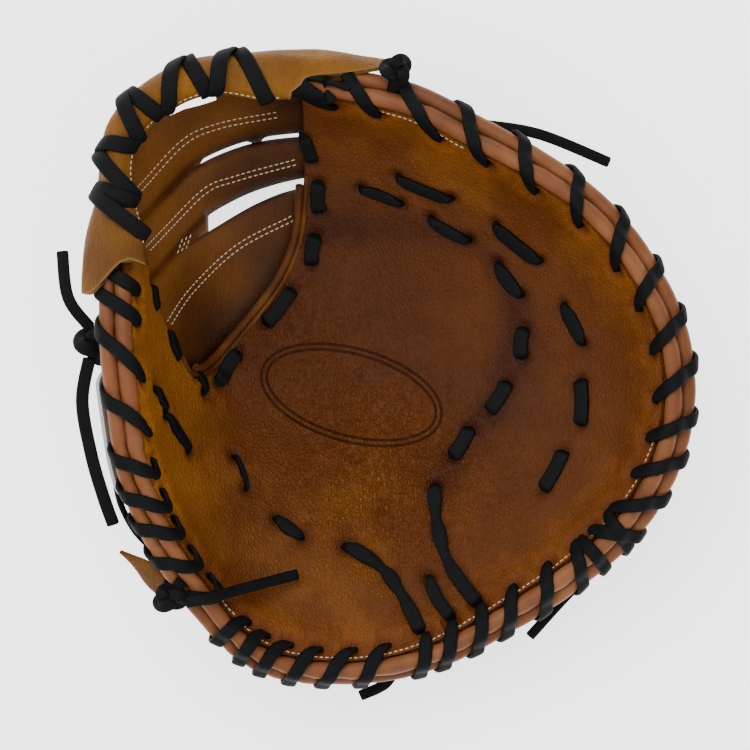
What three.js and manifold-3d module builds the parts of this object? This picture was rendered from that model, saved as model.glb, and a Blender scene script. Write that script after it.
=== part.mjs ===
// First baseman mitt for the left hand, lying on its back with the pocket open upwards.
// Millimetres, +Z up. +X runs to the little finger's side, +Y from the heel to the fingertips.
// The leather is one bowl-shaped wall: at each bearing round the pocket's centre a profile climbs from the
// pocket's floor to the rim. The palm is the top of that wall and the back shell its underside, and what is
// sewn or laced to the rim sits in the rim's own directions: up out of the wall, and through it to the back.
import * as THREE from "three";
import Module from "manifold-3d";
import { mergeVertices } from "three/addons/utils/BufferGeometryUtils.js";

const wasm = await Module();
wasm.setup();

// Sizes of the whole mitt
const pocketReach = 160; // pocket's centre to the rim on the little finger's side
const rimRise = 80; // thumb's rim above the pocket's floor
const pocketFloor = 18; // top of the palm leather over the ground, at the pocket's centre
const handSwell = 46; // deepest stretch of the wall, where the hand and fingers go
const palmWall = 6; // palm leather with its felt pad
const backWall = 3; // back leather
const seatGap = 0.4; // between pieces that touch on the real mitt
const lipPower = 8; // how late the rim curls up

// Rolled edges and lacing
const rollRadius = 4;
const rollSides = 7;
const laceWidth = 5.5;
const laceThickness = 2;
const holeClearance = 0.7; // round a lace in its hole
const holeInset = 5.5; // from the rim down to the middle of a lace hole
const rimDepth = 4 * rollRadius + seatGap; // through the wall at the rim: two rolls side by side

// Web
const bandDepth = 4.4; // web bands below the line of the palm leather
const bandWall = 3;
const bandCrown = 2; // middle of a band above its edges
const sleeveWall = 2.4;
const mouthRoom = 6; // from the edge laces to the sleeve, at its two open ends
const facetRoom = 3.7; // from the sleeve to the lace over it, as both are faceted
const pipingRadius = 1.9;

// Hand opening and wrist strap
const mouthWidth = 116;
const mouthShift = 12; // opening's middle towards the little finger's side
const mouthTop = 48; // pocket's centre down to the top of the opening
const strapWidth = 30;
const strapTop = 96; // pocket's centre down to the strap's upper edge

// How finely the bowl is divided
const columns = 50;
const shares = [0, 0.25, 0.45, 0.6, 0.73, 0.84, 0.93, 1]; // of the way from the pocket's centre to the rim

// The bowl every 15 degrees from +X, turning towards +Y: reach as a share of pocketReach, rise of rimRise,
// flat as the share of the reach that is pocket floor, power of the climb, curl of the lip, swell of handSwell.
const rimColumns = ["reach", "rise", "flat", "power", "curl", "swell"];
const rimTable = [
  [0.97, 0.75, 0.05, 1.5, 0.3, 0.9],
  [0.9, 0.775, 0.06, 1.5, 0.3, 0.88],
  [0.828, 0.775, 0.08, 1.5, 0.3, 0.83],
  [0.76, 0.75, 0.12, 1.55, 0.3, 0.75],
  [0.728, 0.7, 0.18, 1.6, 0.3, 0.66],
  [0.745, 0.65, 0.24, 1.7, 0.3, 0.56],
  [0.765, 0.62, 0.3, 1.7, 0.28, 0.48],
  [0.83, 0.67, 0.32, 1.65, 0.25, 0.42],
  [0.903, 0.75, 0.36, 1.6, 0.2, 0.4],
  [0.897, 0.83, 0.42, 1.55, 0.15, 0.42],
  [0.75, 0.9, 0.5, 1.5, 0.1, 0.5],
  [0.67, 0.96, 0.56, 1.45, 0.06, 0.68],
  [0.64, 1.0, 0.6, 1.4, 0.05, 0.9],
  [0.643, 1.0, 0.58, 1.4, 0.05, 1.1],
  [0.69, 0.96, 0.5, 1.45, 0.08, 1.14],
  [0.753, 0.88, 0.38, 1.45, 0.12, 1.1],
  [0.838, 0.76, 0.24, 1.35, 0.14, 1.04],
  [0.947, 0.63, 0.12, 1.2, 0.08, 1.0],
  [0.966, 0.53, 0.06, 1.15, 0.02, 1.0],
  [0.953, 0.5, 0.05, 1.15, 0.1, 1.0],
  [0.928, 0.52, 0.05, 1.2, 0.2, 1.0],
  [0.944, 0.58, 0.05, 1.3, 0.26, 1.0],
  [0.985, 0.65, 0.05, 1.4, 0.3, 0.96],
  [1.0, 0.71, 0.05, 1.45, 0.3, 0.93],
];

// Edge of the leather along the web, from the fingers' side down to the crotch and up the thumb: shares of
// pocketReach across and along from the pocket's centre.
const notchTable = [
  [-0.134, 0.95],
  [-0.131, 0.75],
  [-0.128, 0.625],
  [-0.131, 0.5],
  [-0.15, 0.344],
  [-0.213, 0.203],
  [-0.322, 0.063],
  [-0.425, -0.055],
  [-0.475, -0.068],
  [-0.503, -0.022],
  [-0.553, 0.069],
  [-0.603, 0.206],
  [-0.628, 0.275],
  [-0.888, 0.313],
];
const pipingFrom = 0.22; // shares of the edge's length with piping
const pipingUntil = 0.62;
const notchSteps = 30;

// Each web band from the fingers' side to the thumb: upper edge across and along, lower edge across and along.
const bandTables = [
  [
    [-0.125, 0.8, -0.125, 0.684],
    [-0.3, 0.84, -0.26, 0.668],
    [-0.46, 0.82, -0.375, 0.634],
    [-0.57, 0.74, -0.48, 0.578],
    [-0.65, 0.66, -0.56, 0.495],
    [-0.71, 0.56, -0.668, 0.375],
  ],
  [
    [-0.125, 0.674, -0.125, 0.545],
    [-0.257, 0.659, -0.22, 0.524],
    [-0.37, 0.626, -0.33, 0.484],
    [-0.475, 0.572, -0.447, 0.414],
    [-0.557, 0.489, -0.53, 0.318],
    [-0.664, 0.369, -0.62, 0.2],
  ],
  [
    [-0.125, 0.518, -0.12, 0.48],
    [-0.21, 0.495, -0.14, 0.33],
    [-0.31, 0.45, -0.21, 0.18],
    [-0.432, 0.376, -0.31, 0.05],
    [-0.526, 0.312, -0.42, -0.07],
    [-0.618, 0.194, -0.54, -0.04],
  ],
];

// Lace holes along the rim by bearing, one list for each lace, and which way its stitches lean.
const edgeLaces = [
  { name: "edge_lace_thumb", turns: -1, holes: [165.5, 172.2, 188.1, 202.3, 210.2, 217.9, 224.7, 232.1, 239.1] },
  { name: "edge_lace_heel", turns: -1, holes: [245.5, 250.5, 254.8, 259.5, 265.2, 271.8, 278.3] },
  { name: "edge_lace_little_finger", turns: -1, holes: [281.8, 286, 291.6, 298.3, 305.5, 313.5, 320.2] },
  {
    name: "edge_lace_fingers",
    turns: 1,
    holes: [323.8, 329.2, 336.7, 343.7, 350.8, 359.6, 368, 376.6, 388, 399.8, 412.7, 425.9, 441.9, 453],
  },
];

// Turning points of the lace over the web's sleeve: on the palm's side and on the back by turns.
const webLaceBearings = [106.8, 110, 118, 118.5, 127.9, 130.4, 135, 141, 144.5, 147.5, 150.5];

// Lacing on the palm: a name and its points, in shares of pocketReach.
const palmLaces = {
  tip_outer: [[0.163, 0.544], [0.331, 0.472]],
  tip_inner: [[0.047, 0.508], [0.175, 0.459]],
  ring_1: [[0.266, 0.413], [0.388, 0.344]],
  ring_2: [[0.469, 0.392], [0.609, 0.277]],
  ring_3: [[0.478, 0.272], [0.553, 0.172]],
  ring_4: [[0.681, 0.141], [0.744, 0.019]],
  ring_5: [[0.563, 0.066], [0.556, -0.022]],
  ring_6: [[0.509, -0.103], [0.453, -0.191]],
  ring_7: [[0.738, -0.097], [0.738, -0.231]],
  ring_8: [[0.391, -0.247], [0.338, -0.334]],
  ring_9: [[0.684, -0.319], [0.622, -0.434]],
  crotch_1: [[-0.131, 0.666], [-0.106, 0.591]],
  crotch_2: [[-0.084, 0.525], [-0.081, 0.438]],
  crotch_3: [[-0.094, 0.359], [-0.106, 0.275]],
  crotch_4: [[-0.172, 0.191], [-0.253, 0.088]],
  crotch_5: [[-0.341, -0.009], [-0.398, -0.1]],
  thumb_1: [[-0.584, -0.116], [-0.553, -0.191]],
  thumb_2: [[-0.553, -0.2], [-0.484, -0.316]],
  thumb_3: [[-0.466, -0.072], [-0.441, -0.134]],
  thumb_4: [[-0.35, -0.331], [-0.309, -0.434]],
  heel_thumb: [[-0.217, -0.525], [-0.134, -0.586]],
  heel_long: [[0.283, -0.427], [0.291, -0.525], [0.327, -0.663], [0.402, -0.77]],
  heel_short: [[0.263, -0.709], [0.291, -0.772], [0.325, -0.82]],
  heel_curve: [[0.0, -0.613], [0.102, -0.678], [0.172, -0.766], [0.225, -0.856]],
};

// Loose ends of lace: width, and points in shares of pocketReach across and along, and of rimRise over the
// pocket's floor.
const tails = {
  tail_thumb_up: { width: 6, points: [[-0.785, 0.07, 0.835], [-0.85, 0.16, 0.875], [-0.868, 0.3, 0.855]] },
  tail_thumb_down: {
    width: 6.5,
    points: [
      [-0.787, -0.03, 0.815],
      [-0.81, -0.16, 0.755],
      [-0.785, -0.32, 0.695],
      [-0.75, -0.45, 0.635],
      [-0.72, -0.54, 0.575],
    ],
  },
  tail_heel_palm: {
    width: 5.5,
    points: [[-0.484, -0.777, 0.895], [-0.42, -0.765, 0.885], [-0.3, -0.735, 0.675], [-0.15, -0.7, 0.475]],
  },
  tail_fingers: { width: 5.5, points: [[0.45, 0.72, 0.611], [0.6, 0.675, 0.611], [0.82, 0.585, 0.495]] },
  tail_little_finger: { width: 5, points: [[0.777, -0.686, 0.375], [0.687, -0.776, 0.355], [0.58, -0.895, 0.335]] },
  tail_heel_back: {
    width: 5.5,
    points: [[0.205, -0.925, 0.17], [0.17, -0.97, 0.24], [0.13, -1.045, 0.235], [0.05, -1.085, 0.235]],
  },
};
// Knots: middle in the same shares, and half sizes in shares of pocketReach.
const knots = {
  knot_thumb: { at: [-0.753, 0.02, 0.835], half: [0.055, 0.055, 0.04] },
  knot_heel: { at: [-0.539, -0.777, 0.9], half: [0.05, 0.04, 0.04] },
  knot_fingers: { at: [0.16, 0.864, 0.779], half: [0.042, 0.04, 0.042] },
};

const radians = THREE.MathUtils.degToRad;
const lerp = THREE.MathUtils.lerp;
const up = new THREE.Vector3(0, 0, 1);

const leather = new THREE.MeshStandardMaterial({ color: 0x9a5a1e, roughness: 0.62, metalness: 0 });
const webLeather = new THREE.MeshStandardMaterial({ color: 0x70401c, roughness: 0.62, metalness: 0 });
const rollLeather = new THREE.MeshStandardMaterial({ color: 0xa4663f, roughness: 0.5, metalness: 0 });
const laceLeather = new THREE.MeshStandardMaterial({ color: 0x1d2023, roughness: 0.55, metalness: 0 });

const mitt = new THREE.Group();

// A smooth value through four others, at a share of the way between the middle two.
function throughFour(a, b, c, d, f) {
  const bend = 2 * b - 2 * c + (c - a) / 2 + (d - b) / 2;
  const sway = 3 * (c - b) - (c - a) - (d - b) / 2;
  return ((bend * f + sway) * f + (c - a) / 2) * f + b;
}

function rimRow(bearing) {
  const place = THREE.MathUtils.euclideanModulo(bearing, 360) / (360 / rimTable.length);
  const first = Math.floor(place);
  const rows = [-1, 0, 1, 2].map((k) => rimTable[(first + k + rimTable.length) % rimTable.length]);
  const values = rimColumns.map((_, c) => throughFour(...rows.map((row) => row[c]), place - first));
  return Object.fromEntries(rimColumns.map((column, c) => [column, values[c]]));
}

// The wall's profile at a bearing and a share of the reach: distance out, height, and the angle it climbs at.
function profile(bearing, share) {
  const row = rimRow(bearing);
  const climb = Math.max(0, (share - row.flat) / (1 - row.flat));
  const rise = rimRise * row.rise;
  const lift = (1 - row.curl) * climb ** row.power + row.curl * climb ** lipPower;
  const steep = (1 - row.curl) * row.power * climb ** (row.power - 1);
  const steepLip = row.curl * lipPower * climb ** (lipPower - 1);
  const reach = pocketReach * row.reach;
  const slope = (rise * (steep + steepLip)) / (reach * (1 - row.flat));
  return { out: reach * share, height: pocketFloor + rise * lift, angle: climb > 0 ? Math.atan(slope) : 0, climb, row };
}

// A point at a depth below the palm's surface, no lower than floor.
function wallPoint(bearing, share, depth, floor = 0) {
  const at = profile(bearing, share);
  const out = at.out + depth * Math.sin(at.angle);
  const height = Math.max(floor, at.height - depth * Math.cos(at.angle));
  return new THREE.Vector3(out * Math.cos(radians(bearing)), out * Math.sin(radians(bearing)), height);
}

// The wall's point over a place on the ground, given in shares of pocketReach.
function overGround(across, along, depth) {
  const bearing = THREE.MathUtils.radToDeg(Math.atan2(along, across));
  const wanted = Math.hypot(across, along) * pocketReach;
  let share = wanted / (pocketReach * rimRow(bearing).reach);
  for (let k = 0; k < 6; k++) {
    const at = profile(bearing, share);
    share = Math.min(1, share - (at.out + depth * Math.sin(at.angle) - wanted) / pocketReach);
  }
  return wallPoint(bearing, share, depth);
}

const notch = new THREE.SplineCurve(
  notchTable.map(([across, along]) => new THREE.Vector2(across * pocketReach, along * pocketReach)),
);

// The notch's line between two shares of its length, moved into the web's window by inset(share).
function notchLine(inset, steps, from = 0, until = 1) {
  return Array.from({ length: steps + 1 }, (_, k) => {
    const share = lerp(from, until, k / steps);
    const point = notch.getPoint(share);
    const along = notch.getTangent(share);
    return new THREE.Vector2(point.x + along.y * inset(share), point.y - along.x * inset(share));
  });
}

const notchSamples = notchLine(() => 0, 60);

// Depth of the back shell's outer face: shallow at the pocket and beside the web, deep where the hand goes.
function backDepth(bearing, share) {
  const { climb, row, out } = profile(bearing, share);
  const closed = palmWall + backWall + 2 * seatGap;
  const floorDepth = pocketFloor + backWall;
  const swell = handSwell * row.swell;
  const deep = climb < 0.5
    ? lerp(floorDepth, Math.max(swell, floorDepth), THREE.MathUtils.smoothstep(climb, 0, 0.5))
    : lerp(Math.max(swell, rimDepth), rimDepth, THREE.MathUtils.smoothstep(climb, 0.5, 1));
  const place = new THREE.Vector2(out * Math.cos(radians(bearing)), out * Math.sin(radians(bearing)));
  const near = Math.min(...notchSamples.map((point) => point.distanceTo(place)));
  return lerp(closed, deep, THREE.MathUtils.smoothstep(near, 2, 34));
}

// A closed body from points and triangles, turned right side out.
function body(points, faces) {
  let volume = 0;
  for (const [a, b, c] of faces) volume += points[a].dot(points[b].clone().cross(points[c]));
  const order = volume < 0 ? faces.map(([a, b, c]) => [a, c, b]) : faces;
  return new wasm.Manifold(
    new wasm.Mesh({
      numProp: 3,
      vertProperties: new Float32Array(points.flatMap((point) => point.toArray())),
      triVerts: new Uint32Array(order.flat()),
    }),
  );
}

// A closed body through rings of points. outline is one ring drawn flat, for the two end caps.
function loft(rings, outline) {
  const size = rings[0].length;
  const faces = [];
  for (let k = 0; k + 1 < rings.length; k++) {
    for (let i = 0; i < size; i++) {
      const a = k * size + i;
      const b = k * size + ((i + 1) % size);
      faces.push([a, b, b + size], [a, b + size, a + size]);
    }
  }
  const last = (rings.length - 1) * size;
  for (const [a, b, c] of capFaces(outline)) {
    faces.push([c, b, a], [last + a, last + b, last + c]);
  }
  return body(rings.flat(), faces);
}

// Triangles that fill a flat outline, turned the way its points run.
function capFaces(outline) {
  const area = THREE.ShapeUtils.area(outline);
  const faces = THREE.ShapeUtils.triangulateShape(outline, []);
  return faces.map(([a, b, c]) => {
    const turn = THREE.ShapeUtils.area([outline[a], outline[b], outline[c]]);
    return turn * area < 0 ? [a, c, b] : [a, b, c];
  });
}

function solidOf(geometry) {
  geometry.deleteAttribute("normal");
  geometry.deleteAttribute("uv");
  const merged = mergeVertices(geometry, 1e-4);
  const mesh = { numProp: 3, vertProperties: merged.attributes.position.array, triVerts: merged.index.array };
  return new wasm.Manifold(new wasm.Mesh(mesh));
}

// A straight-sided cutter over an outline on the ground.
function prism(outline, bottom, top) {
  const shape = new THREE.Shape(outline);
  const geometry = new THREE.ExtrudeGeometry(shape, { depth: top - bottom, bevelEnabled: false });
  return solidOf(geometry.translate(0, 0, bottom));
}

function geometryOf(solid) {
  const { vertProperties, triVerts } = solid.getMesh();
  const geometry = new THREE.BufferGeometry();
  geometry.setAttribute("position", new THREE.BufferAttribute(new Float32Array(vertProperties), 3));
  geometry.setIndex(new THREE.BufferAttribute(new Uint32Array(triVerts), 1));
  geometry.computeVertexNormals();
  return geometry;
}

function add(name, solid, material) {
  const mesh = new THREE.Mesh(geometryOf(solid), material);
  mesh.name = name;
  mitt.add(mesh);
}

// The bowl between two depths of the wall, each a function of bearing and share.
function bowl(topPoint, underPoint) {
  const rings = shares.slice(1);
  const points = [topPoint(0, 0), underPoint(0, 0)];
  for (const place of [topPoint, underPoint]) {
    for (const share of rings) {
      for (let j = 0; j < columns; j++) points.push(place((360 * j) / columns, share));
    }
  }
  const at = (under, ring, j) => 2 + (under * rings.length + ring) * columns + (j % columns);
  const faces = [];
  for (let j = 0; j < columns; j++) {
    faces.push([0, at(0, 0, j), at(0, 0, j + 1)], [1, at(1, 0, j + 1), at(1, 0, j)]);
    for (let ring = 0; ring + 1 < rings.length; ring++) {
      const [a, b, c, d] = [at(0, ring, j), at(0, ring + 1, j), at(0, ring + 1, j + 1), at(0, ring, j + 1)];
      faces.push([a, b, c], [a, c, d]);
      const [e, f, g, h] = [at(1, ring, j), at(1, ring + 1, j), at(1, ring + 1, j + 1), at(1, ring, j + 1)];
      faces.push([e, g, f], [e, h, g]);
    }
    const rim = rings.length - 1;
    const [a, b, c, d] = [at(0, rim, j), at(1, rim, j), at(1, rim, j + 1), at(0, rim, j + 1)];
    faces.push([a, b, c], [a, c, d]);
  }
  return body(points, faces);
}

// The rim's place and directions at a column of the bowl.
function rimColumn(j) {
  const bearing = (360 * j) / columns;
  const { angle } = profile(bearing, 1);
  const outward = new THREE.Vector3(Math.cos(radians(bearing)), Math.sin(radians(bearing)), 0);
  return {
    place: wallPoint(bearing, 1, 0),
    rise: outward.clone().multiplyScalar(Math.cos(angle)).addScaledVector(up, Math.sin(angle)),
    through: outward.clone().multiplyScalar(Math.sin(angle)).addScaledVector(up, -Math.cos(angle)),
  };
}

// The same at any bearing, on the straight line between two columns, as the faceted wall runs.
function rimAt(bearing) {
  const place = (bearing * columns) / 360;
  const first = rimColumn(Math.floor(place));
  const second = rimColumn(Math.floor(place) + 1);
  const part = place - Math.floor(place);
  return {
    place: first.place.clone().lerp(second.place, part),
    rise: first.rise.clone().lerp(second.rise, part).normalize(),
    through: first.through.clone().lerp(second.through, part).normalize(),
    along: second.place.clone().sub(first.place).normalize(),
  };
}

// A point beside the rim: rise is out of the wall's end, through is from the palm's face to the back.
function byRim(bearing, rise, through) {
  const rim = rimAt(bearing);
  return rim.place.clone().addScaledVector(rim.rise, rise).addScaledVector(rim.through, through);
}

// Bearings from start to end: both ends, and every column of the bowl between them.
function bearingsBetween(start, end) {
  const step = 360 / columns;
  const inner = [];
  for (let b = Math.ceil(start / step + 0.2) * step; b < end - 0.2 * step; b += step) inner.push(b);
  return [start, ...inner, end];
}

function circle(sides, radius) {
  return Array.from({ length: sides }, (_, k) => {
    const turn = (2 * Math.PI * (k + 0.5)) / sides;
    return new THREE.Vector2(radius * Math.cos(turn), radius * Math.sin(turn));
  });
}

function rolledEdge(through, start, end) {
  const outline = circle(rollSides, rollRadius);
  const lift = rollRadius + seatGap;
  const rings = bearingsBetween(start, end).map((bearing) =>
    outline.map((point) => byRim(bearing, lift + point.y, through + point.x)),
  );
  return loft(rings, outline);
}

// A flat lace through stations {point, face, across}: face points off what it lies on, and across is its
// width's direction, worked out from the path where it isn't given.
function lace(stations, width = laceWidth, thickness = laceThickness) {
  const rings = stations.map(({ point, face, across, thicken = 1 }, k) => {
    const before = stations[Math.max(0, k - 1)].point;
    const after = stations[Math.min(stations.length - 1, k + 1)].point;
    const path = after.clone().sub(before).normalize();
    const side = across ? across.clone() : path.clone().cross(face).normalize();
    const flat = face.clone().multiplyScalar((thickness * thicken) / 2);
    side.multiplyScalar(width / 2);
    return [
      point.clone().add(side).add(flat),
      point.clone().sub(side).add(flat),
      point.clone().sub(side).sub(flat),
      point.clone().add(side).sub(flat),
    ];
  });
  const outline = [[1, 1], [-1, 1], [-1, -1], [1, -1]].map(([x, y]) => new THREE.Vector2(x, y));
  return loft(rings, outline);
}

// The loop that a lace makes round both rolls, from its hole in the palm to its hole in the back: each row is
// how far out of the wall, how far through it, how much of the way to the next hole, and the way it faces.
function lacePath() {
  const lift = laceThickness / 2 + 3.4 * seatGap;
  const top = 2 * rollRadius + seatGap + lift;
  const beside = rollRadius + seatGap + 2.2;
  return [
    { rise: -holeInset, through: -lift, gone: 0, faceRise: -1, faceThrough: -1, inHole: true, corner: true },
    { rise: beside, through: -lift, gone: 0.3, faceRise: 0.38, faceThrough: -0.92 },
    { rise: top, through: 2.4, gone: 0.5, faceRise: 0.92, faceThrough: -0.38 },
    { rise: top, through: rimDepth - 2.4, gone: 0.76, faceRise: 0.92, faceThrough: 0.38 },
    { rise: beside, through: rimDepth + lift, gone: 0.9, faceRise: 0.38, faceThrough: 0.92 },
    { rise: -holeInset, through: rimDepth + lift, gone: 1, faceRise: -1, faceThrough: 1, inHole: true, corner: true },
  ];
}

function edgeLace({ turns, holes }) {
  const order = turns > 0 ? holes : [...holes].reverse();
  const stations = [];
  const pass = (bearing, row) => {
    const rim = rimAt(bearing);
    const face = rim.rise.clone().multiplyScalar(row.faceRise).addScaledVector(rim.through, row.faceThrough);
    stations.push({
      point: byRim(bearing, row.rise, row.through),
      face: face.normalize(),
      across: row.inHole ? rim.along.clone().negate() : undefined,
      thicken: row.corner ? Math.SQRT2 : 1,
    });
  };
  const holeEnd = { rise: -holeInset, faceRise: -1, faceThrough: 0, inHole: true };
  pass(order[0], { ...holeEnd, through: rimDepth });
  for (let k = 0; k + 1 < order.length; k++) {
    for (const row of lacePath()) pass(lerp(order[k], order[k + 1], row.gone), row);
  }
  pass(order[order.length - 1], { ...holeEnd, through: 0 });
  return lace(stations);
}

// The hole through palm and back for a lace at a bearing.
function laceHole(bearing) {
  const rim = rimAt(bearing);
  const span = rimDepth + 4 * laceThickness + 4;
  const box = new THREE.BoxGeometry(
    laceWidth + 2 * holeClearance,
    laceThickness + 2 * holeClearance,
    span,
  );
  const turned = new THREE.Matrix4().makeBasis(rim.along, rim.through.clone().cross(rim.along), rim.through);
  turned.setPosition(byRim(bearing, -holeInset, rimDepth / 2));
  return solidOf(box.applyMatrix4(turned));
}

// The leather shells, cut for the web's window, the laces and the hand
const beyond = 2.2 * pocketReach;
const windowOutline = [
  ...notchLine(() => 0, notchSteps),
  new THREE.Vector2(-beyond, notch.getPoint(1).y),
  new THREE.Vector2(-beyond, beyond),
  new THREE.Vector2(notch.getPoint(0).x, beyond),
];
const webWindow = prism(windowOutline, -beyond, beyond);
const laceHoles = wasm.Manifold.union(edgeLaces.flatMap(({ holes }) => holes.map(laceHole)));

const mouthRound = mouthWidth / 2.6;
function mouthOutline(inset) {
  const half = mouthWidth / 2 - inset;
  const round = mouthRound - inset;
  const top = -mouthTop - inset;
  const shape = new THREE.Shape();
  shape.moveTo(mouthShift - half, -beyond);
  shape.lineTo(mouthShift + half, -beyond);
  shape.lineTo(mouthShift + half, top - round);
  shape.absarc(mouthShift + half - round, top - round, round, 0, Math.PI / 2);
  shape.absarc(mouthShift - half + round, top - round, round, Math.PI / 2, Math.PI);
  return shape.getPoints(5);
}

const palm = bowl(
  (bearing, share) => wallPoint(bearing, share, 0),
  (bearing, share) => wallPoint(bearing, share, palmWall),
);
const back = bowl(
  (bearing, share) => wallPoint(bearing, share, backDepth(bearing, share) - backWall, backWall),
  (bearing, share) => wallPoint(bearing, share, backDepth(bearing, share)),
);
const mouth = prism(mouthOutline(0), -beyond, beyond);
add("palm_shell", palm.subtract(webWindow).subtract(laceHoles), leather);
add("back_shell", back.subtract(webWindow).subtract(mouth).subtract(laceHoles), leather);

// The wrist strap carries on the back shell's line across the hand opening
const strapHalf = mouthWidth / 2 - seatGap;
const strapOutline = [
  new THREE.Vector2(mouthShift - strapHalf, -strapTop - strapWidth),
  new THREE.Vector2(mouthShift + strapHalf, -strapTop - strapWidth),
  new THREE.Vector2(mouthShift + strapHalf, -strapTop),
  new THREE.Vector2(mouthShift - strapHalf, -strapTop),
];
add("wrist_strap", back.intersect(prism(strapOutline, -beyond, beyond)), webLeather);

// Two rolled edges, laced together along the rim
const rollStart = 162;
const rollEnd = 458;
add("palm_roll", rolledEdge(rollRadius, rollStart, rollEnd), rollLeather);
add("back_roll", rolledEdge(rimDepth - rollRadius, rollStart, rollEnd), rollLeather);
for (const spec of edgeLaces) add(spec.name, edgeLace(spec), laceLeather);

// Web bands, each a crowned strap that stops at the leather's edge
const pipingRoom = 2 * pipingRadius + 2 * seatGap;
const besidePiping = (share) =>
  share > pipingFrom - 0.02 && share < pipingUntil + 0.03 ? pipingRoom : seatGap;
const windowInside = prism(
  [
    ...notchLine(besidePiping, notchSteps),
    new THREE.Vector2(-beyond, notch.getPoint(1).y + seatGap),
    new THREE.Vector2(-beyond, beyond),
    new THREE.Vector2(notch.getPoint(0).x - seatGap, beyond),
  ],
  -beyond,
  beyond,
);
const bandAcross = [0, 0.12, 0.35, 0.65, 0.88, 1];
const bandSteps = 10;
function webBand(table) {
  const edge = (c) =>
    new THREE.SplineCurve(table.map((row) => new THREE.Vector2(row[c], row[c + 1])));
  const [upper, lower] = [edge(0), edge(2)];
  const rings = Array.from({ length: bandSteps + 1 }, (_, k) => {
    const a = upper.getPoint(k / bandSteps);
    const b = lower.getPoint(k / bandSteps);
    const at = (part, depth) => overGround(lerp(a.x, b.x, part), lerp(a.y, b.y, part), depth);
    const crowned = (part) => bandDepth + bandCrown * (2 * part - 1) ** 2;
    return [
      ...bandAcross.map((part) => at(part, crowned(part))),
      ...[1, 0.5, 0].map((part) => at(part, crowned(part) + bandWall)),
    ];
  });
  const outline = [
    ...bandAcross.map((part) => new THREE.Vector2(part, -((2 * part - 1) ** 2))),
    new THREE.Vector2(1, -3),
    new THREE.Vector2(0.5, -2.2),
    new THREE.Vector2(0, -3),
  ];
  return loft(rings, outline);
}
bandTables.forEach((table, k) => {
  add("web_band_" + (k + 1), webBand(table).intersect(windowInside), webLeather);
});

// Piping down the fingers' side of the web's window
function crotchPiping() {
  const outline = circle(6, pipingRadius);
  const line = notchLine(() => pipingRadius + seatGap, 16, pipingFrom, pipingUntil);
  const centres = line.map((point) => overGround(point.x / pocketReach, point.y / pocketReach, pipingRadius));
  const rings = centres.map((centre, k) => {
    const before = centres[Math.max(0, k - 1)];
    const after = centres[Math.min(centres.length - 1, k + 1)];
    const path = after.clone().sub(before).normalize();
    const side = path.clone().cross(up).normalize();
    const lift = side.clone().cross(path);
    return outline.map((point) => centre.clone().addScaledVector(side, point.x).addScaledVector(lift, point.y));
  });
  return loft(rings, outline);
}
add("crotch_piping", crotchPiping(), webLeather);

// The sleeve folds over the web's top edge and over both ends of the rolls
const sleeve = {
  palmStart: 99, // bearing of its mouth on the palm's side, by the fingers
  backStart: 82, // and on the back
  palmEnd: 159, // by the thumb
  backEnd: 169,
  mouthHalf: rimDepth / 2 + laceThickness + mouthRoom + sleeveWall / 2,
  mouthRise: rollRadius + laceThickness + 2.2 + sleeveWall / 2,
  middleHalf: 8.6,
  middleRise: 8,
  mouthOpen: 100, // degrees from its crest to each edge
  middleOpen: 150,
};
const sleeveSteps = 20;
const sleeveSides = 7;
function sleeveSection(part) {
  const middle = THREE.MathUtils.smoothstep(Math.sin(Math.PI * part), 0.25, 0.95);
  return {
    half: lerp(sleeve.mouthHalf, sleeve.middleHalf, middle),
    rise: lerp(sleeve.mouthRise, sleeve.middleRise, middle),
    open: lerp(sleeve.mouthOpen, sleeve.middleOpen, middle),
  };
}
// Bearings at the sleeve's two ends, for a turn round it from the palm's side to the back.
function sleeveSpan(turn) {
  const toBack = (Math.sin(turn) + 1) / 2;
  return {
    start: lerp(sleeve.palmStart, sleeve.backStart, toBack),
    end: lerp(sleeve.palmEnd, sleeve.backEnd, toBack),
  };
}

function webSleeve() {
  const rings = [];
  const centreRise = rollRadius + seatGap;
  for (let k = 0; k <= sleeveSteps; k++) {
    const part = k / sleeveSteps;
    const { half, rise, open } = sleeveSection(part);
    const wall = (side) =>
      Array.from({ length: sleeveSides + 1 }, (_, i) => {
        const turn = radians(lerp(-open, open, i / sleeveSides));
        const { start, end } = sleeveSpan(turn);
        return byRim(
          lerp(start, end, part),
          centreRise + (rise + (side * sleeveWall) / 2) * Math.cos(turn),
          rimDepth / 2 + (half + (side * sleeveWall) / 2) * Math.sin(turn),
        );
      });
    rings.push([...wall(1), ...wall(-1).reverse()]);
  }
  const arc = (radius) =>
    Array.from({ length: sleeveSides + 1 }, (_, i) => {
      const turn = radians(lerp(-sleeve.mouthOpen, sleeve.mouthOpen, i / sleeveSides));
      return new THREE.Vector2(radius * Math.sin(turn), radius * Math.cos(turn));
    });
  return loft(rings, [...arc(1), ...arc(0.8).reverse()]);
}
add("web_sleeve", webSleeve(), leather);

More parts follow.
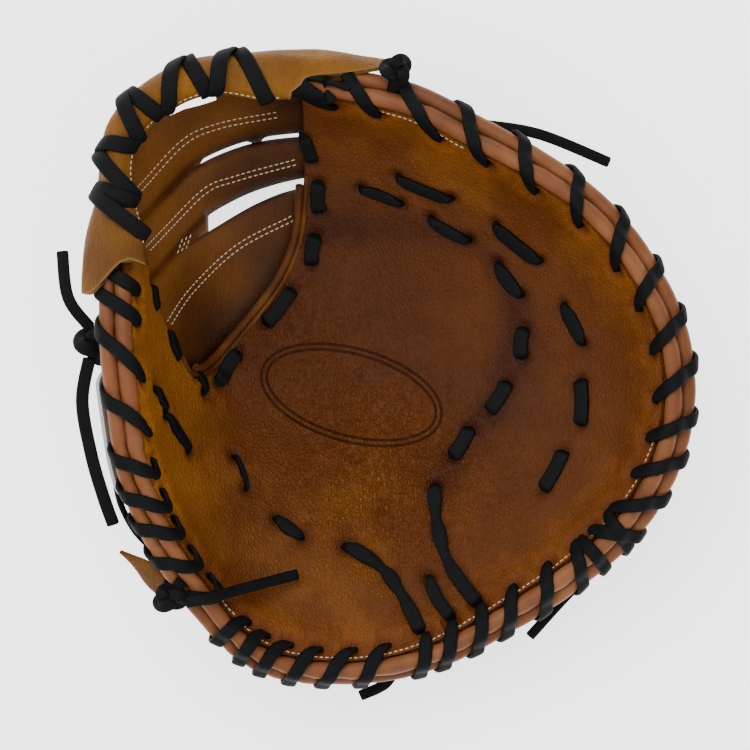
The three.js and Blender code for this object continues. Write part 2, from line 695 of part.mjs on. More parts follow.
// One lace zigzags over the sleeve
const laceOverSleeve = sleeveWall / 2 + facetRoom + laceThickness / 2;
function sleevePoint(bearing, turn, lift) {
  const { start, end } = sleeveSpan(turn);
  const { half, rise } = sleeveSection((bearing - start) / (end - start));
  return byRim(
    bearing,
    rollRadius + seatGap + (rise + lift) * Math.cos(turn),
    rimDepth / 2 + (half + lift) * Math.sin(turn),
  );
}
function webLaceRun(start, end) {
  const stations = [];
  for (let k = 0; k <= 6; k++) {
    const turn = radians(lerp(start.turn, end.turn, k / 6));
    const bearing = lerp(start.bearing, end.bearing, k / 6);
    const point = sleevePoint(bearing, turn, laceOverSleeve);
    stations.push({ point, face: point.clone().sub(sleevePoint(bearing, turn, 0)).normalize() });
  }
  return lace(stations);
}
const webLaceEnds = webLaceBearings.map((bearing, k) => ({ bearing, turn: k % 2 ? 70 : -128 }));
const webLaceRuns = webLaceEnds.slice(1).map((end, k) => webLaceRun(webLaceEnds[k], end));
add("web_lace", wasm.Manifold.union(webLaceRuns), laceLeather);

// Lacing on the palm follows the leather, a lace's half thickness and a gap above it
const ray = new THREE.Raycaster();
const wholePalm = new THREE.Mesh(geometryOf(palm), leather);
function palmHeight(x, y) {
  ray.set(new THREE.Vector3(x, y, beyond), up.clone().multiplyScalar(-1));
  return ray.intersectObject(wholePalm)[0]?.point.z ?? overGround(x / pocketReach, y / pocketReach, 0).z;
}
function palmLace(points) {
  const stations = points.map(([across, along], k) => {
    const x = across * pocketReach;
    const y = along * pocketReach;
    const before = points[Math.max(0, k - 1)];
    const after = points[Math.min(points.length - 1, k + 1)];
    const path = new THREE.Vector2(after[0] - before[0], after[1] - before[1]).normalize();
    const side = new THREE.Vector2(-path.y, path.x).multiplyScalar(laceWidth / 2);
    const left = new THREE.Vector3(x + side.x, y + side.y, palmHeight(x + side.x, y + side.y));
    const right = new THREE.Vector3(x - side.x, y - side.y, palmHeight(x - side.x, y - side.y));
    return { left, right, path };
  });
  const full = stations.map(({ left, right, path }) => {
    const across = left.clone().sub(right).normalize();
    const face = new THREE.Vector3(path.x, path.y, 0).cross(across).normalize();
    if (face.z < 0) face.negate();
    const point = left.clone().lerp(right, 0.5).addScaledVector(face, laceThickness / 2 + seatGap);
    return { point, face, across };
  });
  return lace(full);
}
for (const [name, points] of Object.entries(palmLaces)) add("palm_lace_" + name, palmLace(points), laceLeather);

function overFloor([across, along, rise]) {
  return new THREE.Vector3(across * pocketReach, along * pocketReach, pocketFloor + rise * rimRise);
}
for (const [name, { width, points }] of Object.entries(tails)) {
  add(name, lace(points.map((point) => ({ point: overFloor(point), face: up })), width), laceLeather);
}
for (const [name, { at, half }] of Object.entries(knots)) {
  const ball = new THREE.IcosahedronGeometry(1, 1).scale(...half.map((share) => share * pocketReach));
  add(name, solidOf(ball.translate(...overFloor(at))), laceLeather);
}

// The ground touches the lowest leather, under the middle of the mitt
const box = new THREE.Box3();
for (const piece of mitt.children) if (!piece.name.startsWith("tail_")) box.expandByObject(piece);
const middle = box.getCenter(new THREE.Vector3());
mitt.position.set(-middle.x, -middle.y, -box.min.z);

export default mitt;
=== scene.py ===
import math
import bpy
from mathutils import Matrix, Vector, noise
from mathutils.bvhtree import BVHTree
from mathutils.kdtree import KDTree


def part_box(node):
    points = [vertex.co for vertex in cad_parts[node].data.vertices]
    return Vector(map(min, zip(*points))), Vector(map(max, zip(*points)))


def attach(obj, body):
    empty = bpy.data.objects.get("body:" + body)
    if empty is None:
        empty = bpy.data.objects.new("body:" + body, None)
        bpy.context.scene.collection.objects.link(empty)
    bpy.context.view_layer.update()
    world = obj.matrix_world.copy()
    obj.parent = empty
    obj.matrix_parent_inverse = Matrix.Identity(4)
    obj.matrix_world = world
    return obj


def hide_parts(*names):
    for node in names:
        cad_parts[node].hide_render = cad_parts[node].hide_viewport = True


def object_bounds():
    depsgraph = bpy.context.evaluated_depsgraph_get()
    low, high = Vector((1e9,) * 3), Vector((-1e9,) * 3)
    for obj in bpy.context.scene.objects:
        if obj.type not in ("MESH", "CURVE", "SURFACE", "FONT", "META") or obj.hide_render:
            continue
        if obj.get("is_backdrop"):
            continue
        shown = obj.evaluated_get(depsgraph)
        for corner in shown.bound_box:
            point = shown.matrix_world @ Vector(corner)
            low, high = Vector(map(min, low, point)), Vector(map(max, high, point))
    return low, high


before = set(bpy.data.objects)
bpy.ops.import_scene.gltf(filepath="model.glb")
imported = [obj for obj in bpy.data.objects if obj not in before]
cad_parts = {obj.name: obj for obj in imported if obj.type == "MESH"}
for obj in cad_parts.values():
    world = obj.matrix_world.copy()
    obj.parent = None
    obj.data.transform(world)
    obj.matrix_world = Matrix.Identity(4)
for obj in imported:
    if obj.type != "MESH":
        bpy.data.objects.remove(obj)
cadLow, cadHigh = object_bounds()
print("frame loaded")

# The mitt's bowl, in millimetres from its middle: the palm is the top of a wall that climbs to a rim
bowl = {
    "reach": 160, "rise": 80, "floor": 18, "swell": 46, "palmWall": 6, "backWall": 3, "gap": 0.4,
    "lipPower": 8, "rollRadius": 4, "rimDepth": 16.4, "holeInset": 5.5, "cadColumns": 50,
    "columns": 300, "windowFade": (2, 34),
}
rimStep = 15
# every step from +X towards +Y: reach, rise, flat share of the floor, power of the climb, curl, swell
rimTable = (
    (0.97, 0.75, 0.05, 1.5, 0.3, 0.9),
    (0.9, 0.775, 0.06, 1.5, 0.3, 0.88),
    (0.828, 0.775, 0.08, 1.5, 0.3, 0.83),
    (0.76, 0.75, 0.12, 1.55, 0.3, 0.75),
    (0.728, 0.7, 0.18, 1.6, 0.3, 0.66),
    (0.745, 0.65, 0.24, 1.7, 0.3, 0.56),
    (0.765, 0.62, 0.3, 1.7, 0.28, 0.48),
    (0.83, 0.67, 0.32, 1.65, 0.25, 0.42),
    (0.903, 0.75, 0.36, 1.6, 0.2, 0.4),
    (0.897, 0.83, 0.42, 1.55, 0.15, 0.42),
    (0.75, 0.9, 0.5, 1.5, 0.1, 0.5),
    (0.67, 0.96, 0.56, 1.45, 0.06, 0.68),
    (0.64, 1.0, 0.6, 1.4, 0.05, 0.9),
    (0.643, 1.0, 0.58, 1.4, 0.05, 1.1),
    (0.69, 0.96, 0.5, 1.45, 0.08, 1.14),
    (0.753, 0.88, 0.38, 1.45, 0.12, 1.1),
    (0.838, 0.76, 0.24, 1.35, 0.14, 1.04),
    (0.947, 0.63, 0.12, 1.2, 0.08, 1.0),
    (0.966, 0.53, 0.06, 1.15, 0.02, 1.0),
    (0.953, 0.5, 0.05, 1.15, 0.1, 1.0),
    (0.928, 0.52, 0.05, 1.2, 0.2, 1.0),
    (0.944, 0.58, 0.05, 1.3, 0.26, 1.0),
    (0.985, 0.65, 0.05, 1.4, 0.3, 0.96),
    (1.0, 0.71, 0.05, 1.45, 0.3, 0.93),
)
# the leather's edge along the web, from the fingers' side by the crotch up the thumb, as shares of reach
notchTable = (
    (-0.134, 0.95), (-0.131, 0.75), (-0.128, 0.625), (-0.131, 0.5), (-0.15, 0.344), (-0.213, 0.203),
    (-0.322, 0.063), (-0.425, -0.055), (-0.475, -0.068), (-0.503, -0.022), (-0.553, 0.069),
    (-0.603, 0.206), (-0.628, 0.275), (-0.888, 0.313),
)
up = Vector((0, 0, 1))


def lerp(a, b, f):
    return a + (b - a) * f


def smooth(x, low, high):
    f = min(1, max(0, (x - low) / (high - low)))
    return f * f * (3 - 2 * f)


# A hump of height 1 that falls off over the width
def bell(away, wide=1):
    return math.exp(-((away / wide) ** 2))


def circle(sides):
    return [(math.cos(2 * math.pi * i / sides), math.sin(2 * math.pi * i / sides)) for i in range(sides)]


def throughFour(a, b, c, d, f):
    bend = 2 * b - 2 * c + (c - a) / 2 + (d - b) / 2
    sway = 3 * (c - b) - (c - a) - (d - b) / 2
    return ((bend * f + sway) * f + (c - a) / 2) * f + b


# A row between the rows of a table, by the share of the way along it
def spline(rows, share):
    last = len(rows) - 1
    place = min(share, 0.999999) * last
    first = int(place)
    four = [rows[min(last, max(0, first + k))] for k in (-1, 0, 1, 2)]
    return [throughFour(*column, place - first) for column in zip(*four)]


def rimRow(bearing):
    place = (bearing % 360) / rimStep
    first = int(place)
    four = [rimTable[(first + k) % len(rimTable)] for k in (-1, 0, 1, 2)]
    return [throughFour(*column, place - first) for column in zip(*four)]


def profile(bearing, share):
    reach, rise, flat, power, curl, swell = rimRow(bearing)
    climb = max(0, (share - flat) / (1 - flat))
    lift = (1 - curl) * climb**power + curl * climb ** bowl["lipPower"]
    steep = (1 - curl) * power * climb ** (power - 1) if climb > 0 else 0
    steep += curl * bowl["lipPower"] * climb ** (bowl["lipPower"] - 1)
    reach *= bowl["reach"]
    rise *= bowl["rise"]
    angle = math.atan(rise * steep / (reach * (1 - flat)))
    return reach * share, bowl["floor"] + rise * lift, angle, climb, swell


def wallPoint(bearing, share, depth, floor=0):
    out, height, angle, _, _ = profile(bearing, share)
    out += depth * math.sin(angle)
    turn = math.radians(bearing)
    return Vector((out * math.cos(turn), out * math.sin(turn), max(floor, height - depth * math.cos(angle))))


def overGround(x, y, depth=0, limit=1):
    bearing = math.degrees(math.atan2(y, x))
    wanted = math.hypot(x, y)
    share = wanted / (rimRow(bearing)[0] * bowl["reach"])
    for _ in range(5):
        out, _, angle, _, _ = profile(bearing, share)
        share = min(limit, share - (out + depth * math.sin(angle) - wanted) / bowl["reach"])
    return wallPoint(bearing, share, depth)


def palmNormal(x, y):
    here = overGround(x, y)
    east = overGround(x + 1, y) - here
    north = overGround(x, y + 1) - here
    return east.cross(north).normalized()


def notchPoint(share, inset=0):
    ends = [Vector(spline(notchTable, min(1, max(0, share + d)))) for d in (-0.002, 0.002)]
    along = (ends[1] - ends[0]).normalized()
    place = Vector(spline(notchTable, share)) * bowl["reach"]
    return Vector((place.x + along.y * inset, place.y - along.x * inset))


notchSamples = [notchPoint(k / 60) for k in range(61)]


def backDepth(bearing, share):
    out, _, _, climb, swell = profile(bearing, share)
    closed = bowl["palmWall"] + bowl["backWall"] + 2 * bowl["gap"]
    floorDepth = bowl["floor"] + bowl["backWall"]
    swell *= bowl["swell"]
    if climb < 0.5:
        deep = lerp(floorDepth, max(swell, floorDepth), smooth(climb, 0, 0.5))
    else:
        deep = lerp(max(swell, bowl["rimDepth"]), bowl["rimDepth"], smooth(climb, 0.5, 1))
    turn = math.radians(bearing)
    here = Vector((out * math.cos(turn), out * math.sin(turn)))
    near = min((point - here).length for point in notchSamples)
    return lerp(closed, deep, smooth(near, *bowl["windowFade"]))


def rimWays(bearing):
    angle = profile(bearing, 1)[2]
    turn = math.radians(bearing)
    outward = Vector((math.cos(turn), math.sin(turn), 0))
    rise = outward * math.cos(angle) + up * math.sin(angle)
    return rise, outward * math.sin(angle) - up * math.cos(angle)


# A place beside the rim: rise is out of the wall's end, through is from the palm's face to the back
def byRim(bearing, rise, through):
    riseWay, throughWay = rimWays(bearing)
    return wallPoint(bearing, 1, 0) + riseWay * rise + throughWay * through


# The part's origin lies under the middle of its box, so the palm's own box tells where the pocket's centre is
cadRim = [
    wallPoint(360 * j / bowl["cadColumns"], 1, depth)
    for j in range(bowl["cadColumns"]) for depth in (0, bowl["palmWall"])
]
palmLow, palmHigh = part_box("palm_shell")
pocketX = palmHigh.x * 1000 - max(point.x for point in cadRim)
pocketY = palmLow.y * 1000 - min(point.y for point in cadRim)


def inFrame(point):
    return Vector((point.x + pocketX, point.y + pocketY, point.z)) / 1000


# Camera: straight above and far off, as in a catalogue picture
view = {"middle": (15, -12.5, 2400), "sharpHeight": 50, "pixelsPerMm": 2, "frame": 750, "sensor": 36}
bpy.ops.object.camera_add(location=inFrame(Vector(view["middle"])))
camera = bpy.context.object
camera.data.sensor_width = view["sensor"]
away = view["middle"][2] - view["sharpHeight"]
camera.data.lens = view["sensor"] * view["pixelsPerMm"] * away / view["frame"]
camera.data.clip_end = 10
bpy.context.scene.camera = camera


def pick(*pieces):
    if bpy.context.object and bpy.context.object.mode != "OBJECT":
        bpy.ops.object.mode_set(mode="OBJECT")
    bpy.ops.object.select_all(action="DESELECT")
    for piece in pieces:
        piece.select_set(True)
    if pieces:
        bpy.context.view_layer.objects.active = pieces[0]


# A grid bent into rings of points: its columns run round each ring, its rows from ring to ring
def ringPiece(name, rings, material, uvScale=(1, 1), sharp=40):
    across = len(rings[0])
    along = len(rings) - 1
    pick()
    bpy.ops.mesh.primitive_grid_add(x_subdivisions=across, y_subdivisions=along, size=2)
    piece = bpy.context.object
    piece.name = piece.data.name = name
    for vertex in piece.data.vertices:
        i = round((vertex.co.x + 1) / 2 * across)
        k = round((vertex.co.y + 1) / 2 * along)
        vertex.co = inFrame(rings[k][i % across])
    for corner in piece.data.uv_layers[0].data:
        corner.uv = (corner.uv[0] * uvScale[0], corner.uv[1] * uvScale[1])
    bpy.ops.object.mode_set(mode="EDIT")
    bpy.ops.mesh.select_all(action="SELECT")
    bpy.ops.mesh.remove_doubles(threshold=2e-6)
    bpy.ops.mesh.select_all(action="DESELECT")
    bpy.ops.mesh.select_mode(type="EDGE")
    bpy.ops.mesh.select_non_manifold(extend=False)
    bpy.ops.mesh.fill_holes(sides=0)
    bpy.ops.mesh.select_mode(type="VERT")
    bpy.ops.mesh.select_all(action="SELECT")
    bpy.ops.mesh.normals_make_consistent(inside=False)
    bpy.ops.object.mode_set(mode="OBJECT")
    bpy.ops.object.shade_smooth_by_angle(angle=math.radians(sharp))
    piece.data.materials.clear()
    piece.data.materials.append(material)
    return piece


# An upright block over an outline, to cut or trim other pieces with
def prism(name, outline, low=-50, high=250):
    return ringPiece(name, [[Vector((x, y, z)) for x, y in outline] for z in (low, high)], palmLeather)


def finished(piece, slot, *nodes):
    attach(piece, "root")
    if nodes:
        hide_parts(*nodes)
    return piece


# Sets a value on each point of the mesh, for the material to read
def paint(piece, name, tone):
    layer = piece.data.attributes.new(name, "FLOAT", "POINT")
    for vertex, value in zip(piece.data.vertices, layer.data):
        place = vertex.co * 1000
        value.value = tone(Vector((place.x - pocketX, place.y - pocketY, place.z)))


def mottle(piece, tone, spread=0, scale=1):
    paint(piece, "tone", lambda point: tone + spread * noise.noise(point * scale))


def nearestTo(points):
    tree = KDTree(len(points))
    for number, point in enumerate(points):
        tree.insert(point, number)
    tree.balance()
    return lambda point: tree.find(point)[2]


def joined(name, pieces):
    pick(*pieces)
    if len(pieces) > 1:
        bpy.ops.object.join()
    whole = bpy.context.object
    whole.name = whole.data.name = name
    return whole


def cut(piece, cutter, operation="DIFFERENCE"):
    pick(piece)
    trim = piece.modifiers.new("trim", "BOOLEAN")
    trim.object = cutter
    trim.operation = operation
    trim.solver = "EXACT"
    bpy.ops.object.modifier_apply(modifier=trim.name)


def remove(*pieces):
    pick(*pieces)
    bpy.ops.object.delete()


def routeAlong(places, samples=40):
    return [Vector(spline(places, k / samples)) for k in range(samples + 1)]


def lengthOf(route):
    return sum((b - a).length for a, b in zip(route, route[1:]))


# The rounded flat section of a cut strap, as points round it
def strapSection(sides, square):
    section = []
    for i in range(sides):
        turn = 2 * math.pi * (i + 0.5) / sides
        c, s = math.cos(turn), math.sin(turn)
        section.append((math.copysign(abs(c) ** square, c) / 2, math.copysign(abs(s) ** square, s) / 2))
    return section


strapEnd = {"round": 0.6, "narrow": 0.8}


# A strap along stations of place, facing and width share: smooth between them, and rounded off at both ends
def strapRings(stations, width, thickness, steps=5, sides=14, square=0.6):
    rows = [(*place, *facing, share) for place, facing, share in stations]
    count = (len(rows) - 1) * steps
    line = [spline(rows, k / count) for k in range(count + 1)]
    places = [Vector(row[:3]) for row in line]
    section = strapSection(sides, square)
    rings = []
    length = 0
    for k, row in enumerate(line):
        path = (places[min(count, k + 1)] - places[max(0, k - 1)]).normalized()
        side = path.cross(Vector(row[3:6])).normalized()
        facing = side.cross(path)
        if k:
            length += (places[k] - places[k - 1]).length
        ring = [places[k] + side * (x * width * row[6]) + facing * (y * thickness) for x, y in section]
        rings.append(ring)
        if k in (0, count):
            outward = path * strapEnd["round"] * (1 if k else -1)
            inner = [places[k] + (point - places[k]) * strapEnd["narrow"] + outward for point in ring]
            rings.insert(0 if k == 0 else len(rings), inner)
    return rings, length


# UV counts in tens of millimetres, round the strap and along it
def strapPiece(name, stations, width, thickness, material, **shape):
    rings, length = strapRings(stations, width, thickness, **shape)
    return ringPiece(name, rings, material, uvScale=(0.2 * (width + thickness), length / 10), sharp=60)


# Materials
def linear(hexColour):
    parts = [int(hexColour[k : k + 2], 16) / 255 for k in (1, 3, 5)]
    return tuple(c / 12.92 if c <= 0.04045 else ((c + 0.055) / 1.055) ** 2.4 for c in parts) + (1.0,)


# Each input of a node takes a value or another node's output
def addNode(tree, kind, inputs=None, **settings):
    node = tree.nodes.new(kind)
    for key, value in settings.items():
        setattr(node, key, value)
    for key, value in (inputs or {}).items():
        if isinstance(value, bpy.types.NodeSocket):
            tree.links.new(value, node.inputs[key])
        else:
            node.inputs[key].default_value = value
    return node


def newMaterial(name, values):
    material = bpy.data.materials.new(name)
    material.use_nodes = True
    shader = material.node_tree.nodes["Principled BSDF"]
    for key, value in values.items():
        shader.inputs[key].default_value = value
    return material, material.node_tree, shader


def maths(tree, operation, *values):
    return addNode(tree, "ShaderNodeMath", dict(enumerate(values)), operation=operation).outputs[0]


def vectorMaths(tree, operation, inputs, result="Vector"):
    return addNode(tree, "ShaderNodeVectorMath", inputs, operation=operation).outputs[result]


def painted(tree, name):
    return addNode(tree, "ShaderNodeAttribute", attribute_name=name).outputs["Fac"]


# Object coordinates in millimetres
def millimetres(tree):
    coords = addNode(tree, "ShaderNodeTexCoord")
    return vectorMaths(tree, "SCALE", {0: coords.outputs["Object"], "Scale": 1000.0})


def noiseOver(tree, vector, scale, detail, roughness=0.5, result="Fac"):
    inputs = {"Vector": vector, "Scale": scale, "Detail": detail, "Roughness": roughness}
    return addNode(tree, "ShaderNodeTexNoise", inputs).outputs[result]


def stretched(tree, vector, scale, turn=0, shift=(0, 0, 0)):
    inputs = {"Vector": vector, "Scale": scale, "Rotation": (0, 0, math.radians(turn)), "Location": shift}
    return addNode(tree, "ShaderNodeMapping", inputs).outputs["Vector"]


def stretchedUv(tree, scale):
    return stretched(tree, addNode(tree, "ShaderNodeTexCoord").outputs["UV"], scale)


def mapped(tree, value, before, after, kind="LINEAR"):
    inputs = {
        "Value": value, "From Min": before[0], "From Max": before[1], "To Min": after[0], "To Max": after[1],
    }
    return addNode(tree, "ShaderNodeMapRange", inputs, interpolation_type=kind).outputs["Result"]


# A Mix node has sockets of one name for each kind of data, so those for colour are taken by number
def mixColour(tree, share, first, second):
    return addNode(tree, "ShaderNodeMix", {0: share, 6: first, 7: second}, data_type="RGBA").outputs[2]


def dress(tree, shader, colour, height, strength, distance):
    tree.links.new(colour, shader.inputs["Base Color"])
    inputs = {"Height": height, "Strength": strength, "Distance": distance}
    tree.links.new(addNode(tree, "ShaderNodeBump", inputs).outputs["Normal"], shader.inputs["Normal"])


# How a hide's grain is drawn: noise and stretches are per millimetre, gathers run along the mesh's own UV map
grainForm = {
    "warpScale": 0.12, "warp": 2.4, "pebbleStretch": (1.15, 0.72, 1), "creaseWidth": 0.42,
    "wrinkleStretch": (0.9, 0.22, 0.5), "wrinkleScale": 0.5, "poreScale": 1.5, "poreHeight": 0.35,
    "patchScale": 0.03, "gatherStretch": (170, 5, 1), "shadeRange": (0.2, 1.5), "shadeTop": 1.12,
}


def hide(name, look, pressed=False):
    material, tree, shader = newMaterial(
        name, {"Roughness": look["roughness"], "IOR": 1.48, "Specular IOR Level": look["gloss"]}
    )
    form = grainForm
    mm = millimetres(tree)
    warp = noiseOver(tree, mm, form["warpScale"], 3, result="Color")
    moved = vectorMaths(tree, "MULTIPLY_ADD", {0: warp, 1: [form["warp"]] * 3, 2: mm})
    drawn = stretched(tree, moved, form["pebbleStretch"], look["wrinkleTurn"])
    pebbles = {"Vector": drawn, "Scale": 1 / look["pebble"]}
    pebble = addNode(tree, "ShaderNodeTexVoronoi", pebbles, feature="DISTANCE_TO_EDGE")
    crease = mapped(tree, pebble.outputs["Distance"], (0, form["creaseWidth"]), (0, 1), "SMOOTHSTEP")
    # fine wrinkles run across the pull of the lacing, where the hide has been worked soft
    turned = stretched(tree, moved, form["wrinkleStretch"], look["wrinkleTurn"])
    wrinkle = noiseOver(tree, turned, form["wrinkleScale"], 2)
    worked = mapped(tree, painted(tree, "grain"), (0, 1), (look["grainLow"], look["grainHigh"]))
    folds = maths(tree, "MULTIPLY_ADD", wrinkle, look["wrinkle"], maths(tree, "MULTIPLY", crease, worked))
    # laces pull the hide into short gathers that run out from their holes
    gathers = noiseOver(tree, stretchedUv(tree, form["gatherStretch"]), 1, 2)
    pulled = maths(tree, "MULTIPLY", gathers, painted(tree, "gather"))
    worn = maths(tree, "MULTIPLY_ADD", pulled, look["gather"], folds)
    pores = noiseOver(tree, mm, form["poreScale"], 3, 0.6)
    height = maths(tree, "MULTIPLY_ADD", pores, form["poreHeight"], worn)
    # oil and handling darken the hide unevenly
    patches = noiseOver(tree, mm, form["patchScale"], 6, 0.62)
    spread = mapped(tree, patches, (0.3, 0.7), (-look["patchy"], look["patchy"]))
    ramp = addNode(tree, "ShaderNodeValToRGB", {"Fac": maths(tree, "ADD", painted(tree, "tone"), spread)})
    ramp.color_ramp.elements[0].color = linear(look["light"])
    ramp.color_ramp.elements[1].color = linear(look["dark"])
    ramp.color_ramp.elements.new(0.5).color = linear(look["middle"])
    shade = mapped(tree, height, form["shadeRange"], (look["creaseShade"], form["shadeTop"]))
    colour = vectorMaths(tree, "SCALE", {0: ramp.outputs["Color"], "Scale": shade})
    if pressed:
        colour, height = pressedOval(tree, mm, colour, height)
    # a raw cut edge shows the pale suede inside
    bare = mixColour(tree, painted(tree, "rawEdge"), colour, linear(look["suede"]))
    dress(tree, shader, bare, height, look["bump"], look["bumpHeight"])
    return material


# A bare oval of two pressed lines on the palm: middle, half lengths and turn, then the lines
oval = {
    "x": 3.0, "y": -22.5, "long": 45.5, "short": 22.0, "turn": 15.4, "apart": 2.9, "line": (0.255, 0.7225),
    "ink": "#2c1206", "inked": 0.85, "depth": 1.8,
}


# The distance from an oval is close to n (n - 1) / m, with n and m the lengths of its two scaled coordinates
def pressedOval(tree, mm, colour, height):
    place = stretched(tree, mm, (1, 1, 1), shift=(-(oval["x"] + pocketX), -(oval["y"] + pocketY), 0))
    turned = addNode(
        tree, "ShaderNodeVectorRotate", {"Vector": place, "Angle": math.radians(oval["turn"])},
        rotation_type="Z_AXIS",
    ).outputs["Vector"]
    lengths = []
    for power in (1, 2):
        shares = (oval["long"] ** -power, oval["short"] ** -power, 0)
        scaled = vectorMaths(tree, "MULTIPLY", {0: turned, 1: shares})
        lengths.append(vectorMaths(tree, "LENGTH", {0: scaled}, "Value"))
    spanned = maths(tree, "MULTIPLY", lengths[0], maths(tree, "SUBTRACT", lengths[0], 1))
    away = maths(tree, "ABSOLUTE", maths(tree, "DIVIDE", spanned, lengths[1]))
    near = maths(tree, "ABSOLUTE", maths(tree, "SUBTRACT", away, oval["apart"] / 2))
    line = mapped(tree, near, oval["line"], (oval["inked"], 0), "SMOOTHSTEP")
    inked = mixColour(tree, line, colour, linear(oval["ink"]))
    return inked, maths(tree, "MULTIPLY_ADD", line, -oval["depth"], height)


# oiled full-grain steerhide, tumbled: low gloss, pebbled where it is worked, golden where it isn't
palmHide = {
    "light": "#985d1d", "middle": "#5c2f09", "dark": "#3c1a06", "suede": "#8a6a38", "roughness": 0.5,
    "gloss": 0.13,
    "pebble": 2.0, "grainLow": 0.2, "grainHigh": 1.5, "wrinkle": 0.4, "wrinkleTurn": 35, "patchy": 0.12,
    "creaseShade": 0.66, "bump": 1.0, "bumpHeight": 0.0009, "gather": 2.6,
}
webHide = dict(palmHide, light="#7e4c1a", middle="#552e0c", dark="#241105", wrinkle=0.4, wrinkleTurn=-30)
# sleeve over the web's edge: the same hide, turned, with its raw edges showing
sleeveHide = dict(palmHide, light="#865616", middle="#69400f", dark="#3a2007", wrinkle=0.9, grainHigh=0.5)
# binding of thin calf over a filler cord: smoother and pinker
bindingHide = dict(
    palmHide, light="#9a6440", middle="#7e4b2b", dark="#4a2815", roughness=0.5, grainLow=0.08, grainHigh=0.2,
    wrinkle=0.35, bump=0.4, bumpHeight=0.0004, patchy=0.2, gloss=0.16, creaseShade=0.72,
)
palmLeather = hide("palmSteerhide", palmHide, pressed=True)
backLeather = hide("backSteerhide", palmHide)
webLeather = hide("webSteerhide", webHide)
sleeveLeather = hide("sleeveSteerhide", sleeveHide)
bindingLeather = hide("bindingCalf", bindingHide)
# grey-white pigskin lining of the thumb's stall
liningHide = dict(palmHide, light="#d6d4cf", middle="#c3c0ba", dark="#9c9891", suede="#d6d4cf", roughness=0.7)
liningLeather = hide("liningPigskin", dict(liningHide, bump=0.4))
# rawhide lace, dyed nearly black and waxed: a soft highlight on its crown, paler rubbed edges, faint streaks
laceLook = {
    "dye": "#050506", "rubbed": "#0e0f11", "roughness": 0.66, "gloss": 0.1, "streak": 1.2,
    "streakStretch": (6, 0.9, 1), "streakShare": 0.8, "grain": 1.6, "bump": 0.6, "bumpHeight": 0.0003,
}


def laceMaterial(name, look):
    material, tree, shader = newMaterial(
        name, {"Roughness": look["roughness"], "IOR": 1.5, "Specular IOR Level": look["gloss"]}
    )
    streaks = noiseOver(tree, stretchedUv(tree, look["streakStretch"]), look["streak"], 4, 0.6)
    grain = noiseOver(tree, millimetres(tree), look["grain"], 5, 0.65)
    both = maths(tree, "MULTIPLY_ADD", streaks, look["streakShare"], grain)
    worn = mapped(tree, both, (0.6, 1.25), (0, 1))
    colour = mixColour(tree, worn, linear(look["dye"]), linear(look["rubbed"]))
    dress(tree, shader, colour, both, look["bump"], look["bumpHeight"])
    return material


laceLeather = laceMaterial("waxedRawhideLace", laceLook)
# bonded nylon sewing thread, cream: a twist too fine to show is drawn as a soft ripple along each stitch
threadLook = {"shaded": "#a38a66", "lit": "#d3c3a6", "twist": 1.3, "bump": 0.4, "bumpHeight": 0.0001}
thread, threadTree, threadShader = newMaterial("creamNylonThread", {"Roughness": 0.6, "IOR": 1.53})
twist = addNode(
    threadTree, "ShaderNodeTexWave",
    {"Vector": millimetres(threadTree), "Scale": threadLook["twist"], "Distortion": 0.6},
    bands_direction="DIAGONAL",
).outputs["Fac"]
threadColour = mixColour(threadTree, twist, linear(threadLook["shaded"]), linear(threadLook["lit"]))
dress(threadTree, threadShader, threadColour, twist, threadLook["bump"], threadLook["bumpHeight"])
print("materials made")

# Loose lace ends, on the routes of the part's own tails: width, and places as shares of reach and of rise
tails = {
    "tail_thumb_up": (6, [(-0.785, 0.07, 0.835), (-0.85, 0.16, 0.875), (-0.868, 0.3, 0.855)]),
    "tail_thumb_down": (
        6.5,
        [
            (-0.787, -0.03, 0.815), (-0.81, -0.16, 0.755), (-0.785, -0.32, 0.695), (-0.75, -0.45, 0.635),
            (-0.72, -0.54, 0.575),
        ],
    ),
    "tail_heel_palm": (
        5.5, [(-0.484, -0.777, 0.895), (-0.42, -0.765, 0.885), (-0.3, -0.735, 0.675), (-0.15, -0.7, 0.475)]
    ),
    "tail_fingers": (5.5, [(0.41, 0.7, 0.611), (0.6, 0.67, 0.611), (0.82, 0.585, 0.495)]),
    "tail_little_finger": (5, [(0.777, -0.686, 0.375), (0.687, -0.776, 0.355), (0.58, -0.895, 0.335)]),
    "tail_heel_back": (
        5.5, [(0.205, -0.925, 0.17), (0.17, -0.97, 0.24), (0.13, -1.045, 0.235), (0.05, -1.085, 0.235)]
    ),
}
tailLook = {"thickness": 2.2}
tailShape = {"steps": 8, "sides": 16}


def laceStrap(name, stations, look, *nodes, **shape):
    name = name.replace("_", "-")
    strap = strapPiece(name, stations, look["width"], look["thickness"], laceLeather, **shape)
    return finished(strap, "lace", *nodes)


def overFloor(place):
    x, y, rise = place
    return Vector((x * bowl["reach"], y * bowl["reach"], bowl["floor"] + rise * bowl["rise"]))


for name, (width, places) in tails.items():
    rows = [overFloor(place) for place in places]
    route = routeAlong(rows)
    stations = [(place, up, 1) for place in rows]
    tail = laceStrap(name + "-strap", stations, dict(tailLook, width=width), name, **tailShape)
    lengthOf(route) / 1000
print("loose lace ends made")

